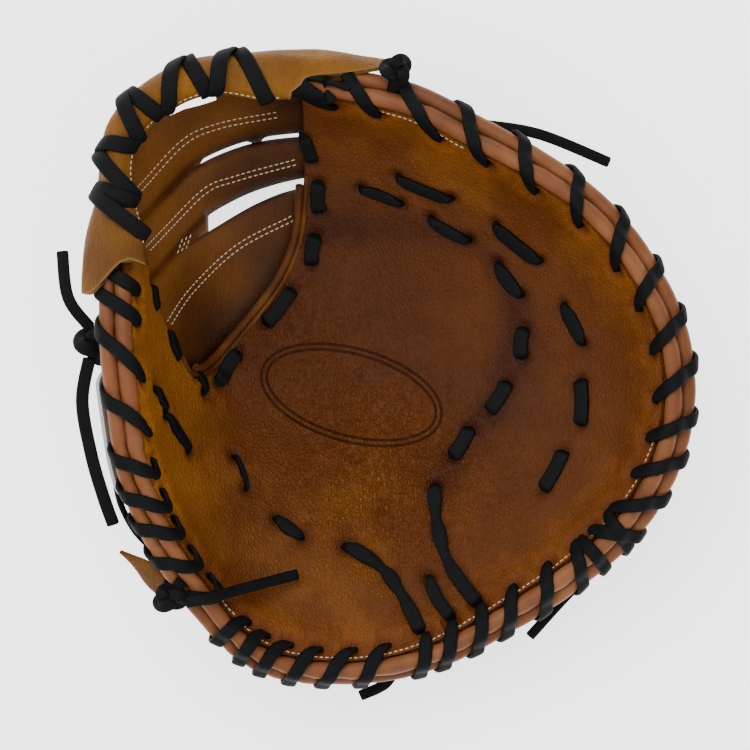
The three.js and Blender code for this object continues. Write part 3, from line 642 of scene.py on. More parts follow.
# Lacing: where it goes through the palm
edgeLaces = {
    "edge_lace_thumb": (-1, [165.5, 172.2, 188.1, 202.3, 210.2, 217.9, 224.7, 232.1, 239.1]),
    "edge_lace_heel": (-1, [245.5, 250.5, 254.8, 259.5, 265.2, 271.8, 278.3]),
    "edge_lace_little_finger": (-1, [281.8, 286, 291.6, 298.3, 305.5, 313.5, 320.2]),
    "edge_lace_fingers": (
        1, [323.8, 329.2, 336.7, 343.7, 350.8, 359.6, 368, 376.6, 388, 399.8, 412.7, 425.9, 441.9, 453]
    ),
}
palmLaces = {
    "tip_outer": [(0.163, 0.544), (0.331, 0.472)],
    "tip_inner": [(0.047, 0.508), (0.175, 0.459)],
    "ring_1": [(0.266, 0.413), (0.388, 0.344)],
    "ring_2": [(0.469, 0.392), (0.609, 0.277)],
    "ring_3": [(0.478, 0.272), (0.553, 0.172)],
    "ring_4": [(0.681, 0.141), (0.744, 0.019)],
    "ring_5": [(0.563, 0.066), (0.556, -0.022)],
    "ring_6": [(0.509, -0.103), (0.453, -0.191)],
    "ring_7": [(0.738, -0.097), (0.738, -0.231)],
    "ring_8": [(0.391, -0.247), (0.338, -0.334)],
    "ring_9": [(0.684, -0.319), (0.622, -0.434)],
    "crotch_1": [(-0.131, 0.666), (-0.106, 0.591)],
    "crotch_2": [(-0.084, 0.525), (-0.081, 0.438)],
    "crotch_3": [(-0.094, 0.359), (-0.106, 0.275)],
    "crotch_4": [(-0.172, 0.191), (-0.253, 0.088)],
    "crotch_5": [(-0.341, -0.009), (-0.398, -0.1)],
    "thumb_1": [(-0.584, -0.116), (-0.553, -0.191)],
    "thumb_2": [(-0.553, -0.2), (-0.484, -0.316)],
    "thumb_3": [(-0.466, -0.072), (-0.441, -0.134)],
    "thumb_4": [(-0.35, -0.331), (-0.309, -0.434)],
    "heel_thumb": [(-0.217, -0.525), (-0.134, -0.586)],
    "heel_long": [(0.283, -0.427), (0.291, -0.525), (0.327, -0.663), (0.41, -0.785)],
    "heel_short": [(0.263, -0.709), (0.291, -0.772), (0.33, -0.83)],
    "heel_curve": [(0.0, -0.613), (0.102, -0.678), (0.172, -0.766), (0.232, -0.872)],
}
# what the lacing does to the palm: a dimple with a low ridge round it at each hole, wider ones along the rim
dimple = {
    "depth": 2.4, "wide": 3.0, "ridge": 0.6, "ridgeAway": 1.8, "ridgeWide": 0.8, "reach": 4.5,
    "edgeDepth": 2.4, "edgeWide": 4.4,
}
# the pull of long lacing folds the leather beside it
foldedLaces = ("heel_long", "heel_curve", "heel_short")
fold = {"depth": 1.3, "wide": 5, "ridge": 0.5, "ridgeAway": 10}
# how uneven the hide lies: height in millimetres, and how often per millimetre
lie = ((1.1, 0.035, 0), (0.45, 0.09, 40))
dimples = []
for _, holes in edgeLaces.values():
    for bearing in holes:
        dimples.append((byRim(bearing, -bowl["holeInset"], 0), dimple["edgeDepth"], dimple["edgeWide"]))
for places in palmLaces.values():
    for x, y in (places[0], places[-1]):
        dimples.append((overGround(x * bowl["reach"], y * bowl["reach"]), dimple["depth"], dimple["wide"]))
troughs = [[place * bowl["reach"] for place in routeAlong(palmLaces[name], 8)] for name in foldedLaces]


def palmRelief(point):
    sink = 0
    for place, depth, wide in dimples:
        away = (point - place).length / wide
        if away < dimple["reach"]:
            sink += depth * bell(away)
            sink -= dimple["ridge"] * bell(away - dimple["ridgeAway"], dimple["ridgeWide"])
    ground = point.xy
    for trough in troughs:
        away = min((ground - place).length for place in trough)
        sink += fold["depth"] * bell(away, fold["wide"])
        sink -= fold["ridge"] * bell(away - fold["ridgeAway"], fold["wide"])
    return sum(high * noise.noise(point * often + up * shift) for high, often, shift in lie) - sink


# How dark and worked the palm is: middle, reach and tone of each patch, partly wear and partly painted shade
# in the pocket
wearAndShade = (
    (-5, 85, 40, 0.66), (22, 108, 26, 0.3), (-3, 107, 24, 0.35), (10, 15, 50, 0.8), (30, 45, 45, 0.52),
    (-30, -20, 40, 0.66), (-22, -62, 35, 0.35), (20, -60, 40, 0.4), (-62, -52, 28, 0.48), (-80, -25, 22, 0),
    (-82, -60, 22, 0.02), (-92, 15, 24, 0.08), (55, 100, 30, 0.25), (85, 60, 35, 0.43), (110, 40, 35, 0.47),
    (80, 0, 40, 0.72), (125, 5, 30, 0.6), (135, -25, 30, 0.62), (100, -85, 40, 0.6), (60, -120, 35, 0.55),
    (0, -125, 35, 0.4), (-50, -105, 35, 0.42), (50, -75, 35, 0.5),
)
# where the grain is broken up: x, y, half width, half height and strength of the patches
workedPatches = ((15, -62, 45, 38, 0.8), (-35, 10, 40, 40, 0.3))
# what else sets the palm's tone: darker round the pocket's bend (wear and painted shade), painted shade in
# the holes, a painted highlight lightening the rim by the fingers
palmWearAndShading = {
    "least": 0.03, "share": 0.6, "bend": 0.3, "bendWide": 9, "hole": 0.3, "holeWide": 5, "rim": 0.16,
    "rimFade": (118, 140), "rimSide": (60, 100), "grain": 0.1, "gatherWide": 11,
}


def palmGrain(point):
    patches = (
        strength * bell(point.x - x, wide) * bell(point.y - y, high)
        for x, y, wide, high, strength in workedPatches
    )
    return palmWearAndShading["grain"] + sum(patches)


# the pocket's edge, where the hide bends each time the mitt closes: darker there, partly worn hide and partly
# painted shade of the valley
hingeLine = (
    (-20, 60), (8, 63), (36, 60), (62, 56), (75, 46), (86, 20), (85, -2), (76, -26), (60, -48), (48, -66),
)
hingeNear = nearestTo([place.to_3d() for place in routeAlong(hingeLine, 60)])


def palmTone(point):
    total = weight = 0
    # each patch's tone is partly the hide's wear and partly painted shade in the pocket
    for x, y, reach, tone in wearAndShade:
        away = (point.x - x) ** 2 + (point.y - y) ** 2
        w = math.exp(-away / (2 * (reach * palmWearAndShading["share"]) ** 2)) + 1e-6
        total += w * tone
        weight += w
    # darker along the pocket's bend: partly worn hide, partly painted shade of the valley
    bentAndShaded = palmWearAndShading["bend"] * bell(hingeNear(point.xy.to_3d()), palmWearAndShading["bendWide"])
    # painted highlight: the rim's inner wall by the fingers is drawn lighter
    rim = smooth(math.hypot(point.x, point.y), *palmWearAndShading["rimFade"]) * smooth(point.x, *palmWearAndShading["rimSide"])
    # painted shade in the dimples round the lace holes
    holes = max(bell((point - place).length, palmWearAndShading["holeWide"]) for place, _, _ in dimples)
    return palmWearAndShading["least"] + total / weight + bentAndShaded - palmWearAndShading["rim"] * rim + palmWearAndShading["hole"] * holes


# Palm leather and back leather: how many rings of points each face has from the middle to the rim
faceRings = {"top": 90, "crowding": 1.25, "under": 16, "outer": 44}
topShares = [1 - (1 - k / faceRings["top"]) ** faceRings["crowding"] for k in range(faceRings["top"] + 1)]
underShares = [k / faceRings["under"] for k in range(faceRings["under"] + 1)]
bearings = [360 * j / bowl["columns"] for j in range(bowl["columns"])]


def palmTop(bearing, share):
    point = wallPoint(bearing, share, 0)
    angle = profile(bearing, share)[2]
    turn = math.radians(bearing)
    inward = Vector((-math.sin(angle) * math.cos(turn), -math.sin(angle) * math.sin(turn), math.cos(angle)))
    return point + inward * palmRelief(point) * smooth(share, 1.0, 0.985)


rings = [[palmTop(bearing, share) for bearing in bearings] for share in topShares[1:]]
middle = sum((palmTop(bearing, 0) for bearing in bearings), Vector()) / len(bearings)
rings.insert(0, [middle] * len(bearings))
for share in reversed(underShares):
    rings.append([wallPoint(bearing, share, bowl["palmWall"]) for bearing in bearings])
palm = ringPiece("palmLeather", rings, palmLeather)

outside = 350
windowRim = [notchPoint(k / 90) for k in range(91)]
windowRim += [(-outside, windowRim[-1].y), (-outside, outside), (windowRim[0].x, outside)]
window = prism("windowCutter", windowRim)
cut(palm, window)
paint(palm, "tone", palmTone)
rimHoles = nearestTo([place for place, _, wide in dimples if wide == dimple["edgeWide"]])
paint(palm, "gather", lambda point: bell(rimHoles(point), palmWearAndShading["gatherWide"]))
paint(palm, "grain", palmGrain)
finished(palm, "palm_leather", "palm_shell")
print("palm made")

# The back: stalls for thumb and fingers swell it, with a shallow valley along each seam between them
stallSeams = {"bearings": (22, 50, 74, 335), "depth": 2.2, "wide": 6}


def apart(bearing, other):
    return abs((bearing - other + 180) % 360 - 180)


def backPoint(bearing, share, wall=0):
    depth = backDepth(bearing, share) - wall
    out = profile(bearing, share)[0]
    for seam in stallSeams["bearings"]:
        away = math.radians(apart(bearing, seam)) * max(out, 1)
        valley = stallSeams["depth"] * bell(away, stallSeams["wide"])
        depth -= valley * smooth(share, 0.35, 0.6) * smooth(share, 1.0, 0.9)
    return wallPoint(bearing, share, depth, wall)


outShares = [k / faceRings["outer"] for k in range(faceRings["outer"] + 1)]
rings = [
    [backPoint(bearing, share, wall) for bearing in bearings[::2]]
    for shares, wall in ((outShares, 0), (reversed(underShares), bowl["backWall"])) for share in shares
]
back = ringPiece("backLeather", rings, backLeather)
strap = ringPiece("wristStrap", rings, webLeather)
cut(back, window)
# the hand's opening in the back, and the strap across it
hand = {"width": 116, "shift": 12, "top": 48, "cornerShare": 2.6, "strapWidth": 30, "strapTop": 96}
half = hand["width"] / 2
bend = hand["width"] / hand["cornerShare"]
mouthRim = [(hand["shift"] - half, -outside), (hand["shift"] + half, -outside)]
for k in range(33):
    turn = math.pi * k / 32
    side = (half - bend) * (1 if k <= 16 else -1)
    mouthRim.append((
        hand["shift"] + side + bend * math.cos(turn),
        bend * (math.sin(turn) - 1) - hand["top"],
    ))
mouth = prism("mouthCutter", mouthRim)
cut(back, mouth)
half -= bowl["gap"]
strapRim = [
    (hand["shift"] + half * side, -hand["strapTop"] - hand["strapWidth"] * low)
    for side, low in ((-1, 1), (1, 1), (1, 0), (-1, 0))
]
strapCutter = prism("strapCutter", strapRim)
cut(strap, strapCutter, "INTERSECT")
remove(window, mouth, strapCutter)
mottle(back, 0.35)
mottle(strap, 0.5)
finished(back, "palm_leather", "back_shell")
finished(strap, "web_leather", "wrist_strap")
print("back and wrist strap made")

# Rolled edges, nipped where a lace crosses them
roll = {
    "radius": 4.3, "nip": 0.75, "nipWide": 1.5, "start": 162, "end": 458, "rings": 640, "sides": 20,
    "uneven": 0.15, "often": 0.35,
}


def rolledEdge(name, node, through, gone):
    nips = []
    for turns, holes in edgeLaces.values():
        order = holes[::turns]
        nips += [lerp(a, b, gone) % 360 for a, b in zip(order, order[1:])]
    rings = []
    for k in range(roll["rings"] + 1):
        bearing = lerp(roll["start"], roll["end"], k / roll["rings"])
        near = min(apart(bearing, nip) for nip in nips)
        radius = roll["radius"] - roll["nip"] * bell(near, roll["nipWide"])
        radius += roll["uneven"] * noise.noise(Vector((bearing * roll["often"], through, 3)))
        rings.append([
            byRim(bearing, bowl["rollRadius"] + bowl["gap"] + radius * y, through + radius * x)
            for x, y in circle(roll["sides"])
        ])
    piece = ringPiece(name, rings, bindingLeather, sharp=80)
    mottle(piece, 0.45, 0.35, 0.05)
    return finished(piece, "roll_leather", node)


rolledEdge("palmRolledEdge", "palm_roll", bowl["rollRadius"], 0.4)
rolledEdge("backRolledEdge", "back_roll", bowl["rimDepth"] - bowl["rollRadius"], 0.78)
print("rolled edges made")

# Edge lacing: out of a hole in the palm, over both rolls, and back in a hole further on
edgeLook = {"width": 6.9, "thickness": 2.5, "pinch": 0.5, "slack": 0.35}
# how far out of the wall, how far through it, and how much of the way to the next hole
loopPath = (
    (-5.5, 3.0, 0), (-5.6, 0.2, 0), (-4.0, -1.3, 0.04), (0.0, -1.5, 0.15), (4.4, -1.4, 0.28),
    (7.6, -0.2, 0.37), (9.6, 2.5, 0.48), (9.9, 5.0, 0.56), (9.5, 8.2, 0.63), (9.9, 11.4, 0.7),
    (9.6, 13.9, 0.76), (7.6, 16.6, 0.83), (4.4, 17.8, 0.9), (0.0, 17.9, 0.95), (-4.0, 17.7, 0.99),
    (-5.6, 16.2, 1), (-5.5, 13.4, 1),
)
# how far the pull of the lace swings each loop along the rim, in degrees, by bearing
laceSwing = (
    (165, 0.5), (200, 1.5), (212, 5), (240, 5), (246, 1.5), (252, -1.7), (279, -1.7), (283, 0), (320, 0),
)


def swingAt(bearing):
    for (a, before), (b, after) in zip(laceSwing, laceSwing[1:]):
        if a <= bearing <= b:
            return lerp(before, after, (bearing - a) / (b - a))
    return 0


# A strap laid along places given by bearing, rise and through, always flat to the rim
def rimLace(name, places, *nodes):
    stations = []
    for k, (bearing, rise, through) in enumerate(places):
        riseWay, throughWay = rimWays(bearing)
        before, after = places[max(0, k - 1)], places[min(len(places) - 1, k + 1)]
        path = (after[1] - before[1], after[2] - before[2])
        size = math.hypot(*path) or 1
        facing = riseWay * (path[1] / size) - throughWay * (path[0] / size)
        inside = 1 - edgeLook["pinch"] * smooth(rise, -1.5, -6)
        stations.append((byRim(bearing, rise, through), facing, inside))
    return laceStrap(name, stations, edgeLook, *nodes, steps=4)


def loopOver(start, end, number):
    swing = swingAt(start)
    slack = edgeLook["slack"] * noise.noise(Vector((number * 3.7, start * 0.1, 1)))
    places = []
    for rise, through, gone in loopPath:
        out = smooth(rise, -4, 4)
        along = lerp(start, end, gone) + slack * out * 2 + swing * math.sin(math.pi * gone**0.5)
        places.append((along, rise + max(0, slack) * out, through))
    return places


for name, (turns, holes) in edgeLaces.items():
    order = holes[::turns]
    places = []
    for k, (start, end) in enumerate(zip(order, order[1:])):
        places += loopOver(start, end, k)
    rimLace(name + "-strap", places, name)

# where one lace ends and the next begins, a spare end crosses the rolls the other way
crossings = ((328.2, 324.4), (321.4, 319.4), (164.6, 160.4))
for number, (palmSide, backSide) in enumerate(crossings, 1):
    rimLace("edge-lace-crossing-" + str(number), loopOver(palmSide, backSide, number))
# ends that come out of the sleeve's mouths and lie along the rolls: bearing, rise and through
sleeveEnds = (
    (
        (102, 6, -1.6), (100, 6.5, -2.6), (98, 3, -3), (96, -1, -2.6), (94, -4.6, -2), (92.6, -7, -0.4),
        (92.2, -7.6, 2),
    ),
    ((101, 4, 5), (98.5, 7.4, 5), (95.5, 10.1, 4.4), (92.5, 10, 4), (90, 9.8, 4.6), (88.3, 9.4, 6.4)),
    ((101.5, 9.2, 3), (99.5, 9.4, 0.6), (97.5, 7.4, -2), (95.6, 4.6, -2.6), (94, 4.8, -1.8), (93, 6, 0)),
)
for number, places in enumerate(sleeveEnds, 1):
    rimLace("sleeve-mouth-lace-" + str(number), places)
print("edge lacing made")

# Lacing on the palm: each length bows up out of the leather and dives in again
palmLook = {
    "width": 7.4, "thickness": 2.8, "bow": 1.1, "ends": 3.0, "sideways": 0.9, "inset": 2.4, "every": 5,
    "blunt": 0.64, "pointed": 0.4, "pinch": 0.38, "pinchWide": 0.07, "pinchDepth": 1.2,
}
# visible width where less than a whole lace shows, and where longer ones are pinched by a hole under them
laceShows = {
    "thumb_4": 0.36, "thumb_1": 0.7, "thumb_2": 0.8, "thumb_3": 0.7, "ring_1": 0.78, "tip_outer": 0.8,
    "tip_inner": 0.75, "crotch_1": 0.9, "heel_short": 0.9, "heel_thumb": 0.9,
    "thumb_edge_1": 0.6, "thumb_edge_2": 0.7,
}
laceBlunt = {
    "crotch_1", "crotch_2", "crotch_3", "crotch_4", "crotch_5", "ring_5", "ring_6", "ring_7", "ring_8",
    "ring_9", "heel_curve", "heel_long", "heel_short",
}
lacePinches = {"heel_long": (0.32, 0.62), "heel_curve": (0.36, 0.66)}
thumbEdgeLaces = {
    "thumb_edge_1": [(-0.594, 0.2), (-0.584, 0.122)], "thumb_edge_2": [(-0.548, 0.06), (-0.52, -0.03)],
}
for name, places in (palmLaces | thumbEdgeLaces).items():
    route = [place * bowl["reach"] for place in routeAlong(places)]
    long = lengthOf(route)
    middle = long - 2 * palmLook["inset"]
    inner = max(1, round(middle / palmLook["every"]))
    stops = [-0.6, 0.6, palmLook["inset"]]
    stops += [palmLook["inset"] + middle * (k + 1) / (inner + 1) for k in range(inner)]
    stops += [long - palmLook["inset"], long - 0.6, long + 0.6]
    stations = []
    for stop in stops:
        part = min(1, max(0, stop / long))
        here = Vector(spline(places, part)) * bowl["reach"]
        fromEnd = min(stop, long - stop)
        lift = lerp(-palmLook["ends"], palmLook["bow"], smooth(fromEnd, -0.8, 2.6))
        if fromEnd < 0:
            way = (route[-1] - route[-2] if stop > long else route[0] - route[1]).normalized()
            here += way * -fromEnd
        facing = palmNormal(here.x, here.y)
        if name in laceBlunt and (stop > long / 2 or "heel" not in name):
            share = lerp(palmLook["blunt"], 1, smooth(fromEnd, -0.6, 2.2))
        else:
            share = lerp(palmLook["pointed"], 1, smooth(fromEnd, -0.6, min(7, long * 0.4)))
        for pinch in lacePinches.get(name, ()):
            nip = bell(stop / long - pinch, palmLook["pinchWide"])
            share *= 1 - palmLook["pinch"] * nip
            lift -= palmLook["pinchDepth"] * nip
        side = (route[-1] - route[0]).normalized().to_3d().cross(facing)
        bend = palmLook["sideways"] * math.copysign(1, noise.noise(Vector((long, len(name), 2.5))))
        here = overGround(here.x, here.y) + side * bend * math.sin(math.pi * part)
        stations.append((here + facing * lift, facing, share * laceShows.get(name, 1)))
    nodes = ["palm_lace_" + name] if name in palmLaces else []
    laceStrap("palm-lace-" + name + "-strap", stations, palmLook, *nodes, steps=4, square=0.4)
print("palm lacing made")

# Web bands: crowned straps with turned edges; rows are upper and lower edge from the fingers to the thumb
bandTables = (
    (
        (-0.125, 0.8, -0.125, 0.684), (-0.3, 0.84, -0.26, 0.668), (-0.46, 0.82, -0.375, 0.634),
        (-0.57, 0.74, -0.48, 0.578), (-0.65, 0.66, -0.56, 0.495), (-0.71, 0.56, -0.668, 0.375),
    ),
    (
        (-0.125, 0.674, -0.125, 0.545), (-0.257, 0.659, -0.22, 0.524), (-0.37, 0.626, -0.33, 0.484),
        (-0.475, 0.572, -0.447, 0.414), (-0.557, 0.489, -0.53, 0.318), (-0.664, 0.369, -0.62, 0.2),
    ),
    (
        (-0.125, 0.518, -0.12, 0.48), (-0.21, 0.495, -0.14, 0.33), (-0.31, 0.45, -0.21, 0.18),
        (-0.432, 0.376, -0.31, 0.05), (-0.526, 0.312, -0.42, -0.07), (-0.618, 0.194, -0.54, -0.04),
    ),
)
band = {
    "depth": 3.6, "wall": 3.0, "crown": 4.6, "crownPower": 3.6, "across": 24, "along": 110,
    "tuck": (6, 10, 5), "tuckFrom": (0.52, 0.57, 0.9), "tuckUntil": (0.64, 0.595, 1),
    "tuckDepth": 3.8, "dip": (0.235, 0.03, 0.5),
}
# the corner that the first band leaves open under the sleeve
webOpening = ((-87, 116), (-79.5, 119.5), (-72, 121.5), (-64, 124.2), (-64, 132), (-80, 132))
# painted shade along the folds at the bands' edges and beside the crotch's welt, lighter towards the thumb
webToneAndShade = {
    "tone": 0.3, "mottle": 0.3, "fold": 0.55, "foldWide": 1.5, "crotch": 0.48, "crotchWide": 32,
    "thumb": 0.35, "thumbFade": (-65, -100),
}
crotchNear = nearestTo([sample.to_3d() for sample in notchSamples[:34]])


def webTone(point, away):
    tone = webToneAndShade["tone"] + webToneAndShade["mottle"] * noise.noise(point * 0.03)
    # painted shade in the fold at each band's edge
    tone += webToneAndShade["fold"] * bell(away, webToneAndShade["foldWide"])
    # painted shade beside the crotch's welt
    tone += webToneAndShade["crotch"] * bell(crotchNear(point.xy.to_3d()), webToneAndShade["crotchWide"])
    return tone - webToneAndShade["thumb"] * smooth(point.x, *webToneAndShade["thumbFade"])


webPieces = []
for number, table in enumerate(bandTables, 1):
    rings = []
    edges = []
    for k in range(band["along"] + 1):
        part = k / band["along"]
        a = Vector(spline([row[:2] for row in table], part)) * bowl["reach"]
        b = Vector(spline([row[2:] for row in table], part)) * bowl["reach"]
        tucked = smooth(part, band["tuckFrom"][number - 1], band["tuckUntil"][number - 1])
        if number == 1:
            at, wide, deep = band["dip"]
            tucked = max(tucked, deep * bell(part - at, wide))
        edges += [b.copy(), a.copy()]
        b += (b - a).normalized() * band["tuck"][number - 1] * tucked
        ring = []
        for side in (0, 1):
            for i in range(band["across"] + 1):
                across = i / band["across"] if side == 0 else 1 - i / band["across"]
                fromMiddle = abs(2 * across - 1)
                depth = band["depth"] + band["crown"] * fromMiddle ** band["crownPower"]
                depth += band["tuckDepth"] * tucked * smooth(across, 0.6, 1)
                if side:
                    depth += band["wall"] * (1 - fromMiddle**8)
                place = a.lerp(b, across)
                ring.append(overGround(place.x, place.y, depth, 1.2))
        rings.append(ring)
    piece = ringPiece("webBand" + str(number), rings, webLeather, sharp=50)
    if number == 1:
        opening = prism("openingCutter", webOpening, 20, 150)
        cut(piece, opening)
        remove(opening)
    fromEdge = nearestTo([edge.to_3d() for edge in edges])
    paint(piece, "tone", lambda point: webTone(point, fromEdge(point.xy.to_3d())))
    finished(piece, "web_leather", "web_band_" + str(number))
    webPieces.append(piece)
print("web bands made")

# Welt along the crotch, and beside it the palm's own edge, turned over and up the thumb: the stretch of the
# leather's edge that each follows, how far inside that edge and how deep it lies
welt = {"radius": 2.1, "span": (0.22, 0.62), "depth": 0.6, "rings": 120, "sides": 14}
turnedEdge = {"radius": 1.3, "span": (0.2, 0.7), "depth": 0.1, "inset": -1.0}


def weltAlong(name, look, inset):
    line = []
    for k in range(welt["rings"] + 1):
        point = notchPoint(lerp(*look["span"], k / welt["rings"]), inset)
        line.append(overGround(point.x, point.y, look["depth"]))
    rings = []
    for k, centre in enumerate(line):
        path = (line[min(len(line) - 1, k + 1)] - line[max(0, k - 1)]).normalized()
        side = path.cross(up).normalized()
        lift = side.cross(path)
        rings.append([centre + (side * x + lift * y) * look["radius"] for x, y in circle(welt["sides"])])
    piece = ringPiece(name, rings, webLeather, sharp=80)
    mottle(piece, 0.5, 0.3, 0.08)
    return piece


finished(weltAlong("crotchWelt", welt, welt["radius"] + bowl["gap"] / 2), "web_leather", "crotch_piping")
finished(weltAlong("palmTurnedEdge", turnedEdge, turnedEdge["inset"]), "palm_leather")

# Sleeve folded over the web's top edge: bearings of its mouths on the palm's side and on the back, then half
# width, rise and how far round it goes at the mouths and in the middle
sleeve = {
    "palmStart": 99, "backStart": 82, "palmEnd": 157, "backEnd": 168, "mouth": (16.6, 9.2, 100),
    "middle": (8.6, 8, 150), "wall": 2.4, "along": 150, "round": 44, "notch": 3.2, "slim": 0.16, "low": 2.2,
    "wave": 0.9, "lipWall": 0.45,
}


def sleeveSection(part):
    middle = smooth(math.sin(math.pi * min(1, max(0, part))), 0.25, 0.95)
    return [lerp(a, b, middle) for a, b in zip(sleeve["mouth"], sleeve["middle"])]


def sleeveSpan(turn):
    toBack = (math.sin(turn) + 1) / 2
    start = lerp(sleeve["palmStart"], sleeve["backStart"], smooth(toBack, 0.25, 0.85))
    start += sleeve["notch"] * smooth(toBack, 0.25, 0)
    return start, lerp(sleeve["palmEnd"], sleeve["backEnd"], smooth(toBack, 0.1, 0.9))


def sleevePoint(bearing, turn, lift):
    start, end = sleeveSpan(turn)
    part = (bearing - start) / (end - start)
    half, rise, _ = sleeveSection(part)
    if turn < 0:
        half *= 1 - sleeve["slim"] * smooth(part, 0.14, 0)
    rise -= sleeve["low"] * smooth(part, 0.2, 0)
    return byRim(
        bearing,
        bowl["rollRadius"] + bowl["gap"] + (rise + lift) * math.cos(turn),
        bowl["rimDepth"] / 2 + (half + lift) * math.sin(turn),
    )


rings = []
for k in range(sleeve["along"] + 1):
    part = k / sleeve["along"]
    opened = math.radians(sleeveSection(part)[2])
    ring = []
    for side in (1, -1):
        for i in range(sleeve["round"] + 1):
            turn = lerp(-opened, opened, i / sleeve["round"]) * side
            bearing = lerp(*sleeveSpan(turn), part)
            wave = sleeve["wave"] * noise.noise(Vector((bearing * 0.12, turn * 1.4, 5)))
            thick = 1 - sleeve["lipWall"] * (1 - smooth(abs(turn) / opened, 1.0, 0.9))
            ring.append(sleevePoint(bearing, turn, wave + side * sleeve["wall"] / 2 * thick))
    rings.append(ring)
sleevePiece = ringPiece("webSleeve", rings, sleeveLeather, sharp=55)
sleeveMouths = nearestTo(rings[0] + rings[-1])
paint(sleevePiece, "rawEdge", lambda point: 0.7 * bell(sleeveMouths(point), 0.8))
# the sleeve darkens towards the thumb's end: painted shade there, over a mottled tone
sleeveTone = {"tone": 0.2, "mottle": 0.4, "often": 0.045, "thumb": 0.25, "fade": (112, 50)}
paint(sleevePiece, "tone", lambda point: (
    sleeveTone["tone"] + sleeveTone["mottle"] * noise.noise(point * sleeveTone["often"])
    + sleeveTone["thumb"] * smooth(point.y, *sleeveTone["fade"])
))
finished(sleevePiece, "palm_leather", "web_sleeve")
print("sleeve made")

# Lace over the sleeve, crossing itself: it runs from the bearing of one turn to the next
webLook = {
    "width": 8.2, "thickness": 2.4, "turns": (-106, 74), "hug": 2.5, "over": 1.6, "dive": 3.2,
    "diveShare": 0.12,
}
webBearings = (106.8, 110, 118, 118.5, 127.9, 130.4, 135, 141, 144.5, 147.5, 150.5)
runs = []
for k, (start, end) in enumerate(zip(webBearings, webBearings[1:])):
    stations = []
    for i in range(11):
        share = i / 10
        turn = math.radians(lerp(*webLook["turns"][:: 1 if k % 2 == 0 else -1], share))
        bearing = lerp(start, end, share)
        lift = webLook["hug"] + webLook["over"] * (k % 2) * math.sin(math.pi * share)
        lift -= webLook["dive"] * smooth(min(share, 1 - share), webLook["diveShare"], 0)
        point = sleevePoint(bearing, turn, lift)
        stations.append((point, (point - sleevePoint(bearing, turn, lift - 3)).normalized(), 1))
    runs.append(strapPiece("run" + str(k), stations, webLook["width"], webLook["thickness"], laceLeather))
finished(joined("webLaceStrap", runs), "lace", "web_lace")
print("web lace made")

# Knots: a strap wound three times through itself; place, half size, turn in degrees and the strap's width
knots = {
    "knot_thumb": ((-0.76, 0.02, 0.835), (0.07, 0.064, 0.04), 20, 7.4),
    "knot_heel": ((-0.539, -0.765, 0.88), (0.05, 0.036, 0.03), 75, 6.4),
    "knot_fingers": ((0.16, 0.864, 0.779), (0.045, 0.044, 0.042), 140, 6.4),
}
knotLook = {"thickness": 2.6, "spread": 0.8, "plump": 0.35}
tieLook = {"width": 6, "thickness": 2.4, "end": (7, 8)}
for name, (at, half, turned, width) in knots.items():
    centre = overFloor(at)
    size = [share * bowl["reach"] for share in half]
    spin = Matrix.Rotation(math.radians(turned), 2)
    stations = []
    for k in range(25):
        t = 2 * math.pi * k / 24
        loop = Vector((math.sin(t) + 2 * math.sin(2 * t), math.cos(t) - 2 * math.cos(2 * t)))
        x, y = spin @ loop / 3 * knotLook["spread"]
        place = Vector((x * size[0], y * size[1], -math.sin(3 * t) * size[2] * knotLook["plump"]))
        stations.append((centre + place, (up * 2 + place * 0.1).normalized(), 1))
    laceStrap(name + "-wrap", stations, dict(knotLook, width=width), name, steps=6)
    # the strap that the knot is tied in, down to the rolls beside it
    bearing = math.degrees(math.atan2(centre.y, centre.x))
    outward = rimWays(bearing)[0]
    facing = up.cross(outward).cross(outward) * -1
    end = byRim(bearing, *tieLook["end"])
    stations = [(centre.lerp(end, share), facing, 1) for share in (0, 0.35, 0.7, 1)]
    laceStrap(name + "-tie", stations, tieLook)
print("knots made")

# Lining that shows outside the thumb's rolls, the lace end beside it, and the wrist strap's tab
lining = {
    "start": 183, "end": 218, "rings": 60, "through": 21.2, "hidden": 18.5, "low": -10, "high": 1.5,
    "wall": 1.8, "lean": 1.5,
}
rings = []
for k in range(lining["rings"] + 1):
    part = k / lining["rings"]
    shown = smooth(part, 0, 0.15) * smooth(part, 1, 0.8)
    high = lerp(lining["low"] + 2, lining["high"], shown)
    middle = lerp(lining["hidden"], lining["through"], shown)
    rings.append([
        byRim(
            lerp(lining["start"], lining["end"], part),
            lerp(lining["low"], high, rise),
            middle + side * lining["wall"] / 2 - (1 - rise) * lining["lean"],
        )
        for rise, side in ((0, -1), (0, 1), (0.5, 1.3), (1, 1), (1, -1), (0.5, -0.7))
    ])
thumbLining = ringPiece("thumbLining", rings, liningLeather, sharp=60)
mottle(thumbLining, 0.3, 0.4, 0.06)
finished(thumbLining, "palm_leather")

besideLace = {
    "width": 5, "thickness": 2.2,
    "places": ((211, -3, 22.6), (215, -1.5, 23), (220, -2, 22.4), (224, -4, 21), (227, -6, 20)),
}
stations = [(byRim(*place), rimWays(place[0])[1], 1) for place in besideLace["places"]]
laceStrap("thumb-back-lace-end", stations, besideLace)

# the tab's rows are a place and a share of its width
tab = {
    "width": 13, "wall": 2.4, "facing": (-0.5, -0.45, 0.9),
    "rows": (
        (-110.5, -100, 77, 0.12), (-105, -103.5, 76, 0.42), (-99.5, -107.5, 75, 0.8), (-94.5, -113, 74, 1),
        (-90, -118, 73, 0.9), (-86, -122, 72, 0.6),
    ),
}
stations = [(Vector(row[:3]), Vector(tab["facing"]), row[3]) for row in tab["rows"]]
tabShape = {"sides": 20, "square": 0.8}
wristTab = strapPiece("wristStrapTab", stations, tab["width"], tab["wall"], sleeveLeather, **tabShape)
mottle(wristTab, 0.6, 0.3, 0.08)
finished(wristTab, "palm_leather")
print("lining and tab made")

